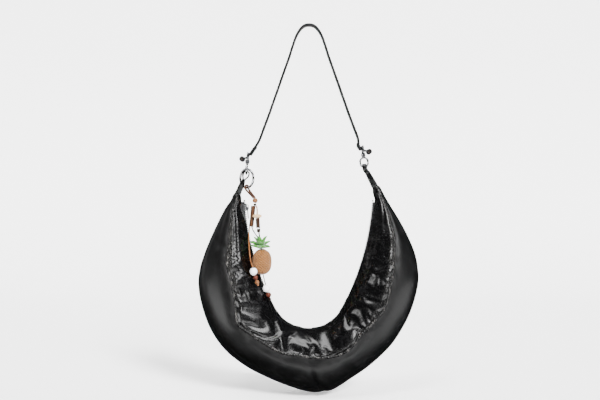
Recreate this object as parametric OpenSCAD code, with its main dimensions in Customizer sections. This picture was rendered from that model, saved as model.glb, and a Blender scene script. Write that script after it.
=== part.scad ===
// A half moon bag that hangs by its strap, with two clasps, a curved zip and a charm.
// X is to the right, Y to the back and Z up. The origin is under the top of the strap.

/* [Strap] */
// Drop from under the strap's top to its lower ends
strap_drop = 190; // [184:0.5:194]
// Width of the strap
strap_width = 15; // [12:0.5:15]
// Thickness of the strap's outer leather
strap_leather = 2.2; // [1.6:0.1:2.4]
// Thickness of the strap's lining
strap_backing = 0.8; // [0.4:0.1:0.9]
// Length of the turned back tail at each end of the strap
strap_tail = 16; // [12:0.5:20]
// Diameter of the rolled end of the strap
strap_roll = 8.4; // [7:0.1:9]

/* [Bag body] */
// Width of the bag across its horns
bag_width = 331; // [325:1:340]
// Height of the bag from its lowest point to the end of the right horn
bag_height = 311; // [306:1:316]
// Depth of the bag front to back at the middle
bag_depth = 96; // [84:1:110]
// Thickness of the leather panels
panel_wall = 1.6; // [1.2:0.1:2]
// Thickness of the lining
lining_wall = 0.5; // [0.3:0.1:0.7]
// Thickness of the piping along the two seams
welt_size = 3.6; // [2.4:0.1:4.4]

/* [Zip] */
// Half the width of the arm opening at the zip's two ends
arch_half_width = 97.24; // [94:0.02:100]
// Height of the arm opening from its lowest point to the zip's ends
arch_height = 193.4; // [188:0.2:198]
// Radius of the zip at the bottom of the arm opening
throat_radius = 58; // [54:1:62]
// Width of the zip between the panels
zip_width = 12; // [11:0.5:14]
// Width of one row of teeth
tooth_width = 2.4; // [1.8:0.1:2.6]
// Height of the teeth
tooth_height = 2.2; // [1.6:0.1:2.4]
// Spacing of the teeth
tooth_pitch = 3; // [2.6:0.1:4]
// Thickness of the zip tape
tape_thickness = 0.7; // [0.4:0.1:0.9]
// Length of the slider
slider_length = 11; // [9:0.5:13]

/* [Clasps] */
// Wire diameter of the eye and the hook
clasp_wire = 2.8; // [2.4:0.1:3]
// Height of the opening in the eye
eye_opening = 8.4; // [8.2:0.1:9]
// Radius of the hook's wire line
hook_radius = 5.8; // [5.5:0.1:6]
// Length of the hook's straight side
hook_side = 2.8; // [2.6:0.1:4.2]
// Diameter of the swivel post
post_size = 3.2; // [2.8:0.1:3.4]

/* [Charm] */
// Outer diameter of the charm ring
ring_size = 31.5; // [30:0.5:33]
// Wire diameter of the charm ring
ring_wire = 3.5; // [3:0.1:3.6]
// Diameter of the wound fruit body
fruit_width = 29; // [26:0.5:29.5]
// Height of the wound fruit body
fruit_height = 39; // [36:0.5:40]
// Diameter of one crown leaf
leaf_size = 14; // [12:0.5:15]
// Number of leaves in the outer ring of the crown
leaf_count = 8; // [6:1:10]
// Diameter of the two white beads
white_bead = 11.4; // [10:0.2:11.6]
// Diameter of the braid
braid_size = 6.8; // [5:0.2:7]
// Length of the toggle bead
toggle_length = 14; // [11:0.5:15]

/* [Hidden] */

// Fits and overruns
soft_gap = 0.3;
running_gap = 0.05;
overrun = 20;
round_faces = 64;

// Curve helpers
function mix(a, b, t) = a + (b - a) * t;
function unit(v) = v / norm(v);
function spline(a, b, c, d, t) =
    (2 * b + (c - a) * t + (2 * a - 5 * b + 4 * c - d) * t * t + (3 * b - a - 3 * c + d) * t * t * t) / 2;
function curve_at(p, u) =
    let (last = len(p) - 1, i = min(floor(u), last - 1), t = u - i)
    spline(i > 0 ? p[i - 1] : 2 * p[0] - p[1], p[i], p[i + 1],
        i + 2 > last ? 2 * p[last] - p[last - 1] : p[i + 2], t);
function smooth(p, parts) =
    [for (i = [0 : (len(p) - 1) * parts]) curve_at(p, i / parts)];
function tangent(p, i) = unit(p[min(i + 1, len(p) - 1)] - p[max(i - 1, 0)]);

// A tube swept along points, with one ring of sides at each point
module tube(p, size, sides) {
    count = len(p);
    rings = [for (i = [0 : count - 1])
        let (along = tangent(p, i), side = unit(cross(along, [0, 1, 0])), other = cross(along, side))
        for (k = [0 : sides - 1])
            p[i] + size / 2 * (cos(360 * k / sides) * side + sin(360 * k / sides) * other)];
    walls = [for (i = [0 : count - 2]) for (k = [0 : sides - 1])
        let (a = i * sides + k, b = i * sides + (k + 1) % sides)
        each [[a, a + sides, b], [b, a + sides, b + sides]]];
    caps = [[for (k = [0 : sides - 1]) k], [for (k = [0 : sides - 1]) count * sides - 1 - k]];
    polyhedron(rings, concat(walls, caps));
}

// A closed sheet between two grids of points that have the same rows and columns
module sheet(outer, inner) {
    rows = len(outer);
    columns = len(outer[0]);
    shift = rows * columns;
    points = concat([for (r = outer) each r], [for (r = inner) each r]);
    skins = [for (i = [0 : rows - 2]) for (k = [0 : columns - 2])
        let (a = i * columns + k, b = a + 1, c = a + columns, d = c + 1)
        each [[a, b, c], [b, d, c], [a + shift, c + shift, b + shift], [b + shift, c + shift, d + shift]]];
    sides = [for (i = [0 : rows - 2]) for (k = [0, columns - 1])
        let (a = i * columns + k, c = a + columns, flip = k == 0)
        each flip ? [[a, c, a + shift], [c, c + shift, a + shift]]
            : [[a, a + shift, c], [c, a + shift, c + shift]]];
    ends = [for (k = [0 : columns - 2]) for (i = [0, rows - 1])
        let (a = i * columns + k, b = a + 1, flip = i == 0)
        each flip ? [[a, a + shift, b], [b, a + shift, b + shift]]
            : [[a, b, a + shift], [b, b + shift, a + shift]]];
    polyhedron(points, concat(skins, sides, ends));
}

// Places below the strap's lower ends
left_collar_drop = 16.1;
right_collar_drop = 5.8;
left_neck_drop = 64.2;
right_neck_drop = 52.4;
horn_top_drop = 53.5;
zip_top_drop = 76.9;

// Clasp places, and sizes along each clasp from the middle of its collar
left_collar = [-0.9626 * arch_half_width, -strap_drop - left_collar_drop];
left_tilt = -5;
right_collar = [0.8474 * arch_half_width, -strap_drop - right_collar_drop];
right_tilt = 6;
collar_size = 6.6;
collar_low = 2.5;
collar_high = 2.2;
eye_inner_width = 16.6;
eye_corner = 2.2;
eye_bottom = collar_high - 0.1 * clasp_wire;
head_size = 4.8;
head_height = 0.8;
shoulder_height = 1;
hook_top = -collar_low - soft_gap - clasp_wire / 2;
hook_upper = hook_top - hook_radius;
hook_lower = hook_upper - hook_side;
hook_bottom = hook_lower - hook_radius;
ear_low = 1.1;
ear_high = 1.85;
ear_radius = 1.6;
ear_length = 3.4;
knuckle_radius = 1.4;
gate_wire = 2.2;
gate_pin = 1;
gate_gap = 0.25;

// A point at height z along a clasp, in the XZ plane
function on_clasp(collar, tilt, z) = [collar[0] - z * sin(tilt), collar[1] + z * cos(tilt)];

// Strap line: the underside of the strap, as shares of the half span and the drop
strap_shares = [
    [0, 0], [0.055, 0.004], [0.1, 0.022], [0.145, 0.055], [0.2, 0.1], [0.25, 0.148], [0.295, 0.195],
    [0.335, 0.243], [0.41, 0.337], [0.485, 0.431], [0.56, 0.526], [0.635, 0.62], [0.71, 0.715],
    [0.79, 0.81], [0.865, 0.9], [0.92, 0.948], [0.99, 0.99]
];
strap_half_span = 0.8638 * arch_half_width;
strap_total = strap_leather + strap_backing;
roll_reach = 9;
left_cross = on_clasp(left_collar, left_tilt, eye_bottom + 0.5 * clasp_wire + 0.45 * eye_opening);
right_cross = on_clasp(right_collar, right_tilt, eye_bottom + 0.5 * clasp_wire + 0.45 * eye_opening);
left_roll_place = left_cross + roll_reach * [-0.94, -0.34];
right_roll_place = right_cross + roll_reach * [1.04, -0.24];
half_line = [for (s = strap_shares) [s[0] * strap_half_span, -s[1] * strap_drop]];
left_line = concat([for (p = half_line) [-p[0], p[1]]], [left_cross + strap_total / 2 * [0.5, -0.86]],
    [left_roll_place + strap_total / 2 * [0.2, -0.98]]);
right_shorter = 3;
right_knee_share = [0.885, 0.962];
right_line = concat([for (i = [0 : len(half_line) - right_shorter]) half_line[i]],
    [[right_knee_share[0] * strap_half_span, -right_knee_share[1] * strap_drop]],
    [right_cross + strap_total / 2 * [-0.7, -0.7]], [right_roll_place + strap_total / 2 * [-0.1, -0.98]]);
strap_line = concat([for (i = [len(left_line) - 1 : -1 : 1]) left_line[i]], right_line);
strap_last = len(strap_line) - 1;
left_step = norm(strap_line[2] - strap_line[1]);
right_step = norm(strap_line[strap_last - 1] - strap_line[strap_last - 2]);
tail_start_share = 1.3;
tail_parts = 6;
left_tail = [for (k = [0 : tail_parts])
    curve_at(strap_line, tail_start_share + k / tail_parts * strap_tail / left_step)];
right_tail = [for (k = [tail_parts : -1 : 0])
    curve_at(strap_line, strap_last - tail_start_share - k / tail_parts * strap_tail / right_step)];
tail_low = strap_backing - strap_leather;
tail_high = strap_backing + strap_leather / 2;
left_fold = [for (k = [0 : 2 * tail_parts])
    curve_at(strap_line, k / (2 * tail_parts) * (tail_start_share + strap_tail / left_step))];
right_fold = [for (k = [2 * tail_parts : -1 : 0])
    curve_at(strap_line, strap_last - k / (2 * tail_parts) * (tail_start_share + strap_tail / right_step))];
dowel_size = 2.8;

// Zip line: two long horn curves joined by one small curve at the bottom
zip_middle = -0.7;
zip_start = 3.6;
zip_end = 180 - zip_start;
zip_low = -strap_drop - zip_top_drop - arch_height;
throat_centre = zip_low + throat_radius;
arch_rise = arch_height - throat_radius;
horn_radius = (pow(arch_half_width, 2) + pow(arch_rise, 2) - pow(throat_radius, 2)) / 2
    / (arch_half_width * cos(zip_start) - arch_rise * sin(zip_start) - throat_radius);
horn_shift = horn_radius - throat_radius;
throat_angle = atan2(arch_rise + horn_radius * sin(zip_start),
    horn_radius * cos(zip_start) - arch_half_width);
tape_steps = 64;
zip_half = zip_width / 2;
row_gap = 0.5;
tooth_edge = row_gap + tooth_width;
tooth_length_share = 0.6;
degree = 3.14159265 / 180;
horn_length = horn_radius * (throat_angle - zip_start) * degree;
throat_length = throat_radius * (180 - 2 * throat_angle) * degree;
zip_length = horn_length + throat_length + horn_radius * (zip_end - 180 + throat_angle) * degree;
function zip_centre(h) = h <= throat_angle
    ? [zip_middle + horn_shift * cos(throat_angle), throat_centre + horn_shift * sin(throat_angle)]
    : h < 180 - throat_angle ? [zip_middle, throat_centre]
    : [zip_middle - horn_shift * cos(throat_angle), throat_centre + horn_shift * sin(throat_angle)];
function zip_radius(h) = h <= throat_angle || h >= 180 - throat_angle ? horn_radius : throat_radius;
function zip_point(h) = zip_centre(h) - zip_radius(h) * [cos(h), sin(h)];
function heading_at(s) = s < horn_length ? zip_start + s / horn_radius / degree
    : s < horn_length + throat_length ? throat_angle + (s - horn_length) / throat_radius / degree
    : 180 - throat_angle + (s - horn_length - throat_length) / horn_radius / degree;
slider_heading = 4.8;
slider_play = 0.4;
slider_plate = 1.4;
slider_width = 9;
divider_width = 0.6;
divider_length = 3;
bridge_length = 7.8;
bridge_width = 1.8;
bridge_bar = 1;
bridge_space = 1.7;
pull_wire = 1.2;
pull_width = 5.6;
pull_length = 15;
stop_length = 2.4;

// Body sections from the left horn to the right one. Each row has the outer edge's place, the
// share of the half depth, the share from the inner to the outer edge at which the seam lies,
// and the share of the zip's width left open. Neck rows give both edges' places, across as
// shares of half the arm opening and down as shares of the neck's reach. In the other rows the
// place across runs from 0 at the middle over 1 at the arm opening's half width to 2 at the
// bag's half width, the place down is a share of the height, and the inner edge lies on the zip.
neck_reach = 40;
left_neck_shares = [
    [-1.1744, 0.3421, 0.115, 0.45, 0.06, -1.0722, 0.4432],
    [-1.2186, 0.5676, 0.15, 0.46, 0.4, -1.0682, 0.6453],
    [-1.3037, 0.8552, 0.23, 0.5, 0.9, -1.0539, 0.8552]
];
right_neck_shares = [[1.0995, 0.0389, 0.125, 0.7, 0.06, 1.011, 0.1244]];
body_shares = [
    [-1.612, 0.188, 0.34, 0.52, 1], [-1.762, 0.259, 0.44, 0.47, 1], [-1.908, 0.341, 0.54, 0.46, 1],
    [-1.985, 0.405, 0.63, 0.475, 1], [-2.019, 0.478, 0.71, 0.44, 1], [-1.932, 0.583, 0.79, 0.47, 1],
    [-1.758, 0.69, 0.86, 0.54, 1], [-1.467, 0.785, 0.9, 0.47, 1], [-1.02, 0.866, 0.94, 0.43, 1],
    [-0.609, 0.932, 0.97, 0.42, 1], [-0.266, 0.974, 0.99, 0.37, 1], [0.078, 1, 1, 0.36, 1],
    [0.374, 0.983, 0.99, 0.4, 1], [0.64, 0.932, 0.97, 0.46, 1], [0.888, 0.88, 0.94, 0.48, 1],
    [1.2, 0.812, 0.9, 0.44, 1], [1.476, 0.744, 0.86, 0.47, 1], [1.801, 0.624, 0.79, 0.54, 1],
    [1.99, 0.493, 0.71, 0.51, 1], [2, 0.405, 0.63, 0.52, 1], [1.922, 0.322, 0.54, 0.54, 1],
    [1.758, 0.241, 0.44, 0.61, 1], [1.598, 0.176, 0.34, 0.62, 1], [1.408, 0.108, 0.24, 0.7, 1],
    [1.287, 0.063, 0.18, 0.7, 1]
];
body_headings = [8, 11, 14, 17, 20, 24, 28, 36, 48, 62, 76, 90, 104, 118, 132, 144, 152, 156, 160,
    163, 166, 169, 172, 175, 177];
horn_top = -strap_drop - horn_top_drop;
depth_skew = 0.12;
body_rows = concat(left_neck_shares, body_shares, right_neck_shares);
side_reach = bag_width / 2 - arch_half_width;
function neck_place(x, z) = [x * arch_half_width, horn_top - z * neck_reach];
function body_place(x, z) =
    [sign(x) * (min(abs(x), 1) * arch_half_width + max(abs(x) - 1, 0) * side_reach),
        horn_top - z * bag_height];
outer_line = concat([for (r = left_neck_shares) neck_place(r[0], r[1])],
    [for (r = body_shares) body_place(r[0], r[1])],
    [for (r = right_neck_shares) neck_place(r[0], r[1])]);
inner_line = concat([for (r = left_neck_shares) neck_place(r[5], r[6])],
    [for (h = body_headings) zip_point(h)], [for (r = right_neck_shares) neck_place(r[5], r[6])]);
row_parts = 2;
outer_curve = smooth(outer_line, row_parts);
inner_curve = smooth(inner_line, row_parts);
depth_curve = smooth([for (r = body_rows) r[2] * bag_depth / 2], row_parts);
seam_curve = smooth([for (r = body_rows) r[3]], row_parts);
open_curve = smooth([for (r = body_rows) r[4] * zip_half], row_parts);
row_count = len(outer_curve);

// A point of one section, at angle a from the zip round the front, set in from the skin
function skin_point(i, a, inset) =
    let (middle = (outer_curve[i] + inner_curve[i]) / 2, reach = (outer_curve[i] - inner_curve[i]) / 2,
        w = -cos(a) * (norm(reach) - inset), p = middle + unit(reach) * w)
    [p[0], -sin(a) * (depth_curve[i] - inset) * (1 - depth_skew * cos(a)), p[1]];
function zip_angle(i, inset) =
    asin(min(0.95, open_curve[i] / (depth_curve[i] - inset) / (1 - depth_skew)));
function seam_angle(i) = acos(1 - 2 * seam_curve[i]);
function seam_split(i) = soft_gap / 2 / norm(outer_curve[i] - inner_curve[i]) * 2 / degree;
function panel_grid(columns, inset, side) = [for (i = [0 : row_count - 1])
    let (a = zip_angle(i, inset), b = seam_angle(i) - seam_split(i))
    [for (k = [0 : columns])
        side > 0 ? skin_point(i, mix(a, b, k / columns), inset)
            : skin_point(i, 360 - mix(b, a, k / columns), inset)]];
function base_grid(columns, inset) = [for (i = [0 : row_count - 1])
    let (a = seam_angle(i) + seam_split(i))
    [for (k = [0 : columns]) skin_point(i, mix(a, 360 - a, k / columns), inset)]];
function lining_grid(columns, inset) = [for (i = [0 : row_parts : row_count - 1])
    let (a = zip_angle(i, inset))
    [for (k = [0 : columns]) skin_point(i, mix(a, 360 - a, k / columns), inset)]];
panel_columns = 5;
base_columns = 8;
lining_columns = 12;
lining_gap = 1.4;

// Hanging tabs and neck bindings
tab_leather = 2;
tab_loop = 3.2;
tab_top_width = 6.4;
left_tab_low_width = 6.4;
right_tab_low_width = 9;
tab_wedge = 9;
binding_height = 4.6;
binding_size = 10.4;
left_neck = [-1.1096 * arch_half_width, -strap_drop - left_neck_drop];
right_neck = [1.0222 * arch_half_width, -strap_drop - right_neck_drop];
left_loop = on_clasp(left_collar, left_tilt, hook_bottom);
right_loop = on_clasp(right_collar, right_tilt, hook_bottom);

// Strap pieces
module band(p, low, high, width) {
    count = len(p);
    function normal(i) = let (t = tangent(p, i)) [-t[1], t[0]];
    rotate([90, 0, 0])
        linear_extrude(height = width, center = true)
            polygon(concat([for (i = [0 : count - 1]) p[i] + normal(i) * high],
                [for (i = [count - 1 : -1 : 0]) p[i] + normal(i) * low]));
}

module across(place, size, width) {
    translate([place[0], 0, place[1]])
        rotate([90, 0, 0])
            cylinder(h = width, d = size, center = true, $fn = round_faces);
}

module strap() {
    color([0.1, 0.1, 0.11])
        difference() {
            union() {
                band(smooth(strap_line, 2), strap_backing, strap_total, strap_width);
                band(left_tail, tail_low, tail_high, strap_width);
                band(right_tail, tail_low, tail_high, strap_width);
                across(left_roll_place, strap_roll, strap_width);
                across(right_roll_place, strap_roll, strap_width);
            }
            across(left_roll_place, dowel_size + 2 * running_gap, strap_width + overrun);
            across(right_roll_place, dowel_size + 2 * running_gap, strap_width + overrun);
        }
}

module strap_lining() {
    color([0.35, 0.35, 0.36])
        difference() {
            band(smooth(strap_line, 2), 0, strap_backing, strap_width);
            across(left_roll_place, strap_roll, strap_width + overrun);
            across(right_roll_place, strap_roll, strap_width + overrun);
            band(left_fold, tail_low, strap_total, strap_width + overrun);
            band(right_fold, tail_low, strap_total, strap_width + overrun);
        }
}

module strap_dowels() {
    color([0.6, 0.48, 0.3])
        for (place = [left_roll_place, right_roll_place])
            across(place, dowel_size, strap_width);
}

// Clasp pieces, drawn upright round the middle of the collar
module at_clasp(collar, tilt, turn) {
    translate([collar[0], 0, collar[1]])
        rotate([0, -tilt, 0])
            rotate([0, 0, turn])
                children();
}

module arc_wire(radius, wire, from, to) {
    rotate([90, 0, 90])
        rotate([0, 0, from])
            rotate_extrude(angle = to - from, $fn = round_faces)
                translate([radius, 0])
                    circle(d = wire, $fn = round_faces / 2);
}

module rod(place, direction, length, size) {
    translate(place)
        rotate(direction)
            cylinder(h = length, d = size, $fn = round_faces / 2);
}

module eye() {
    half_width = eye_inner_width / 2 + clasp_wire / 2;
    top = eye_bottom + eye_opening + clasp_wire;
    corner_y = half_width - eye_corner;
    low_corner = eye_bottom + eye_corner;
    high_corner = top - eye_corner;
    difference() {
        union() {
            translate([0, 0, -collar_low])
                cylinder(h = collar_low + collar_high, d = collar_size, $fn = round_faces);
            for (side = [-1, 1])
                rod([0, side * half_width, low_corner], [0, 0, 0], high_corner - low_corner, clasp_wire);
            for (z = [eye_bottom, top])
                rod([0, -corner_y, z], [-90, 0, 0], 2 * corner_y, clasp_wire);
            translate([0, corner_y, high_corner])
                arc_wire(eye_corner, clasp_wire, 0, 90);
            translate([0, -corner_y, high_corner])
                arc_wire(eye_corner, clasp_wire, 90, 180);
            translate([0, -corner_y, low_corner])
                arc_wire(eye_corner, clasp_wire, 180, 270);
            translate([0, corner_y, low_corner])
                arc_wire(eye_corner, clasp_wire, 270, 360);
        }
        translate([0, 0, -overrun / 2])
            cylinder(h = overrun, d = post_size + 2 * running_gap, $fn = round_faces);
        translate([0, 0, collar_high])
            cylinder(h = overrun, d = head_size + 2 * soft_gap, $fn = round_faces);
    }
}

module hook() {
    pivot_angle = (knuckle_radius + gate_gap) / hook_radius / degree;
    ear_angle = ear_length / hook_radius / degree;
    shoulder_top = -collar_low - gate_gap / 2;
    difference() {
        union() {
            translate([0, 0, hook_upper])
                arc_wire(hook_radius, clasp_wire, 0, 180 - pivot_angle);
            translate([0, 0, hook_lower])
                arc_wire(hook_radius, clasp_wire, 180, 360);
            rod([0, hook_radius, hook_lower], [0, 0, 0], hook_side, clasp_wire);
            rod([0, 0, hook_top], [0, 0, 0], collar_high + gate_gap / 2 + head_height - hook_top, post_size);
            translate([0, 0, shoulder_top - shoulder_height])
                cylinder(h = shoulder_height, d = head_size, $fn = round_faces);
            translate([0, 0, collar_high + gate_gap / 2])
                cylinder(h = head_height, d = head_size, $fn = round_faces);
            for (side = [-1, 1])
                translate([side * (ear_low + ear_high) / 2, 0, hook_upper])
                    rotate([90, 0, 90])
                        ear(180 - ear_angle, ear_angle);
        }
        translate([0, -hook_radius, hook_upper])
            rotate([0, 90, 0])
                cylinder(h = overrun, d = gate_pin + 2 * running_gap, center = true, $fn = round_faces / 2);
    }
}

module ear(from, sweep) {
    thickness = ear_high - ear_low;
    translate([-hook_radius, 0, 0])
        cylinder(h = thickness, r = ear_radius, center = true, $fn = round_faces / 2);
    rotate([0, 0, from])
        rotate_extrude(angle = sweep, $fn = round_faces)
            translate([hook_radius, 0])
                square([clasp_wire, thickness], center = true);
}

module gate() {
    reach = hook_upper - hook_lower - gate_gap;
    difference() {
        union() {
            rod([0, -hook_radius, hook_lower + gate_gap], [0, 0, 0], reach, gate_wire);
            translate([0, -hook_radius, hook_upper])
                rotate([0, 90, 0])
                    cylinder(h = 2 * (ear_low - running_gap), r = knuckle_radius, center = true,
                        $fn = round_faces / 2);
        }
        translate([0, -hook_radius, hook_upper])
            rotate([0, 90, 0])
                cylinder(h = overrun, d = gate_pin + 2 * running_gap, center = true, $fn = round_faces / 2);
    }
}

module pin() {
    translate([0, -hook_radius, hook_upper])
        rotate([0, 90, 0])
            cylinder(h = 2 * ear_high, d = gate_pin, center = true, $fn = round_faces / 2);
}

left_turn = 0;
right_turn = 90;
metal = [0.75, 0.75, 0.77];
module left_eye() { color(metal) at_clasp(left_collar, left_tilt, 0) eye(); }
module left_hook() { color(metal) at_clasp(left_collar, left_tilt, left_turn) hook(); }
module left_gate() { color(metal) at_clasp(left_collar, left_tilt, left_turn) gate(); }
module left_gate_pin() { color(metal) at_clasp(left_collar, left_tilt, left_turn) pin(); }
module right_eye() { color(metal) at_clasp(right_collar, right_tilt, 0) eye(); }
module right_hook() { color(metal) at_clasp(right_collar, right_tilt, right_turn) hook(); }
module right_gate() { color(metal) at_clasp(right_collar, right_tilt, right_turn) gate(); }
module right_gate_pin() { color(metal) at_clasp(right_collar, right_tilt, right_turn) pin(); }

// Bag body pieces
leather = [0.13, 0.13, 0.14];
module front_panel() {
    color(leather)
        sheet(panel_grid(panel_columns, 0, 1), panel_grid(panel_columns, panel_wall, 1));
}

module back_panel() {
    color(leather)
        sheet(panel_grid(panel_columns, 0, -1), panel_grid(panel_columns, panel_wall, -1));
}

module base_panel() {
    color([0.22, 0.22, 0.23])
        sheet(base_grid(base_columns, 0), base_grid(base_columns, panel_wall));
}

module lining() {
    inset = panel_wall + lining_gap;
    color([0.85, 0.8, 0.7])
        sheet(lining_grid(lining_columns, inset), lining_grid(lining_columns, inset + lining_wall));
}

module welt(side) {
    proud = -(welt_size / 2 + soft_gap / 3);
    color([0.16, 0.16, 0.16])
        tube([for (i = [0 : row_count - 1])
            skin_point(i, side > 0 ? seam_angle(i) : 360 - seam_angle(i), proud)], welt_size, 6);
}
module front_welt() { welt(1); }
module back_welt() { welt(-1); }

zip_colour = [0.16, 0.16, 0.17];
module zip_tape(side) {
    edge = zip_half - soft_gap;
    near = side > 0 ? tooth_edge : -edge;
    far = side > 0 ? edge : -tooth_edge;
    function edges(set_out) = [for (k = [0 : tape_steps])
        let (h = heading_at(k / tape_steps * zip_length), p = zip_point(h) + set_out * [cos(h), sin(h)])
        [[p[0], near, p[1]], [p[0], far, p[1]]]];
    color(zip_colour)
        sheet(edges(tape_thickness / 2), edges(-tape_thickness / 2));
}
module front_zip_tape() { zip_tape(1); }
module back_zip_tape() { zip_tape(-1); }

module at_zip(h) {
    place = zip_point(h);
    translate([place[0], 0, place[1]])
        rotate([0, 180 - h, 0])
            children();
}

module zip_teeth(side) {
    color([0.3, 0.3, 0.31])
        for (s = [tooth_pitch / 2 : tooth_pitch : zip_length - tooth_pitch / 2])
            at_zip(heading_at(s))
                translate([0, side * (row_gap + tooth_width / 2), 0])
                    cube([tooth_height, tooth_width, tooth_pitch * tooth_length_share], center = true);
}
module front_zip_teeth() { zip_teeth(-1); }
module back_zip_teeth() { zip_teeth(1); }

module zip_stops() {
    stop_angle = (stop_length / 2 + soft_gap) / horn_radius / degree;
    color(metal)
        for (h = [zip_start - stop_angle, zip_end + stop_angle])
            at_zip(h)
                cube([tooth_height, 2 * tooth_edge, stop_length], center = true);
}

module zip_slider() {
    plate_low = tooth_height / 2 + slider_play;
    plate_high = plate_low + slider_plate;
    flange_low = tape_thickness / 2 + slider_play;
    flange_inner = tooth_edge + slider_play;
    flange_width = slider_width / 2 - flange_inner;
    leg = (bridge_length - 2 * bridge_bar) / 2;
    color(metal)
        at_zip(slider_heading) {
            for (side = [-1, 1]) {
                translate([side * (plate_low + plate_high) / 2, 0, 0])
                    cube([slider_plate, slider_width, slider_length], center = true);
                for (hand = [-1, 1])
                    translate([side * (flange_low + plate_high) / 2,
                        hand * (flange_inner + flange_width / 2), 0])
                        cube([plate_high - flange_low, flange_width, slider_length], center = true);
                translate([-plate_high - bridge_space / 2, 0, side * (leg + bridge_bar / 2)])
                    cube([bridge_space, bridge_width, bridge_bar], center = true);
            }
            translate([0, 0, (divider_length - slider_length) / 2])
                cube([2 * plate_high, divider_width, divider_length], center = true);
            translate([-plate_high - bridge_space - bridge_bar / 2, 0, 0])
                cube([bridge_bar, bridge_width, bridge_length], center = true);
        }
}

pull_offset = tooth_height / 2 + slider_play + slider_plate + bridge_space / 2;
module zip_pull() {
    color(metal)
        at_zip(slider_heading)
            translate([-pull_offset, 0, 0])
                difference() {
                    union() {
                        rod([0, -pull_width / 2, 0], [-90, 0, 0], pull_width, pull_wire);
                        translate([0, 0, pull_length / 2])
                            cube([pull_wire, pull_width, pull_length], center = true);
                        translate([0, 0, pull_length])
                            rotate([0, 90, 0])
                                cylinder(h = pull_wire, d = pull_width, center = true, $fn = round_faces);
                    }
                    slot = bridge_length / 2 + gate_gap;
                    translate([0, 0, pull_wire / 2 + slot / 2])
                        cube([overrun, bridge_width + 2 * slider_play, slot], center = true);
                }
}

// A tab that hangs on a hook: a loop round the hook's wire and a doubled band down to the neck
module tab(top, low, turn, tilt, low_width) {
    down = low - top;
    length = norm(down);
    lean = atan2(-down[0], -down[1]);
    outer = tab_loop + tab_leather;
    translate([top[0], 0, top[1]])
        difference() {
            union() {
                rotate([0, -tilt, 0])
                    rotate([90, 0, turn])
                        cylinder(h = tab_top_width, r = outer, center = true, $fn = round_faces);
                rotate([0, lean, 0])
                    rotate([0, 0, turn]) {
                        rotate([90, 0, 0])
                            linear_extrude(height = tab_top_width - 2 * soft_gap, center = true)
                                polygon([[-outer, 0], [outer, 0],
                                    [tab_leather, -tab_wedge], [-tab_leather, -tab_wedge]]);
                        rotate([90, 0, 90])
                            linear_extrude(height = 2 * tab_leather, center = true)
                                polygon([[-tab_top_width / 2, 0], [tab_top_width / 2, 0],
                                    [low_width / 2, -length], [-low_width / 2, -length]]);
                    }
            }
            rotate([0, -tilt, 0])
                rotate([90, 0, turn])
                    cylinder(h = overrun, r = tab_loop, center = true, $fn = round_faces);
        }
}
module left_tab() { color(leather) tab(left_loop, left_neck, left_turn, left_tilt, left_tab_low_width); }
module right_tab() { color(leather) tab(right_loop, right_neck, right_turn, right_tilt, right_tab_low_width); }

module binding(place, loop) {
    down = place - loop;
    translate([place[0], 0, place[1]])
        rotate([0, atan2(-down[0], -down[1]), 0])
            translate([0, 0, -binding_height - running_gap])
                cylinder(h = binding_height, d = binding_size, $fn = round_faces);
}
module left_neck_binding() { color(leather) binding(left_neck, left_loop); }
module right_neck_binding() { color(leather) binding(right_neck, right_loop); }

// Charm places. The routes of the cords are chosen by hand.
ring_turn = 41;
ring_line = (ring_size - ring_wire) / 2;
ring_top = on_clasp(left_collar, left_tilt, hook_bottom + tab_loop + tab_leather + soft_gap + ring_wire / 2);
ring_low = [ring_top[0], 0, ring_top[1] - 2 * ring_line];
charm_home = [-94.6, 0, -245.4];
ring_across = [sin(ring_turn), cos(ring_turn), 0];
loop_size = 3;
loop_round = ring_wire / 2 + loop_size / 2 + 1.2 * soft_gap;
loop_left_route = [[-83.8, -8.8, -261.2], [-86.6, -8.2, -258], [-90.6, -6.7, -253.6], [-94.6, -4.7, -249.6]];
loop_right_route = [[-90.4, 1.4, -249.8], [-87, -1.5, -254.2], [-83.9, -4, -258], [-81.6, -5.9, -260.9]];
loop_angles = [195, 160, 125, 90, 55, 20, -15];
top_bead_size = 8;
top_bead_place = [-81.5, -7.4, -265];
bead_knot_size = 4.8;
bead_knot_place = [-81.7, -7.8, -271.4];
braid_route = [[-84.2, -8.2, -273.6], [-85, -8.8, -283], [-86, -9.4, -293], [-87.2, -10.2, -303.5]];
side_cord_size = 2.6;
side_cord_route = [[-79.4, -9, -272.8], [-78.3, -10.8, -277.4], [-77.8, -13.6, -281.4], [-77.8, -15.8, -285]];
toggle_size = 6;
toggle_place = [-77.8, -16.2, -288.3];
woven_size = 6.4;
woven_route = [[-77.4, -15.9, -291.5], [-76.9, -15.4, -298.5], [-76.4, -14.9, -306]];
tube_knot_size = 6.6;
tube_knot_place = [-75.8, -14.7, -309.6];
crown_cord_size = 1.8;
crown_left_route = [[-86.2, -10.2, -304.2], [-84.4, -12, -309.5], [-80.2, -14.4, -315.8], [-75.6, -16.6, -321.8]];
crown_right_route = [[-75.4, -14.9, -313.2], [-74.6, -15.6, -317], [-73.4, -16.8, -321.8]];
fruit_place = [-70.6, -17, -356.8];
crown_place = [-72.6, -17, -337.4];
crown_core = 5.6;
crown_core_height = 15.3;
leaf_thickness = 2.6;
leaf_sides = 12;
outer_leaf_tilt = 58;
inner_leaf_tilt = 22;
outer_leaf_reach = 9;
inner_leaf_reach = 11.5;
inner_leaf_share = 0.86;
inner_leaf_count = 5;
fruit_roundness = 2.6;
fruit_flatness = 2.2;
fruit_steps = 16;
lower_cord_size = 1.6;
lower_left_route = [[-73, -17, -376.4], [-72.2, -17, -382], [-70.6, -17, -388.6], [-69, -17, -393.4]];
lower_right_route = [[-68.8, -17, -376.5], [-67.4, -17, -383], [-65.2, -17, -390.8]];
lower_white_place = [-64, -17, -396.6];
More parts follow.
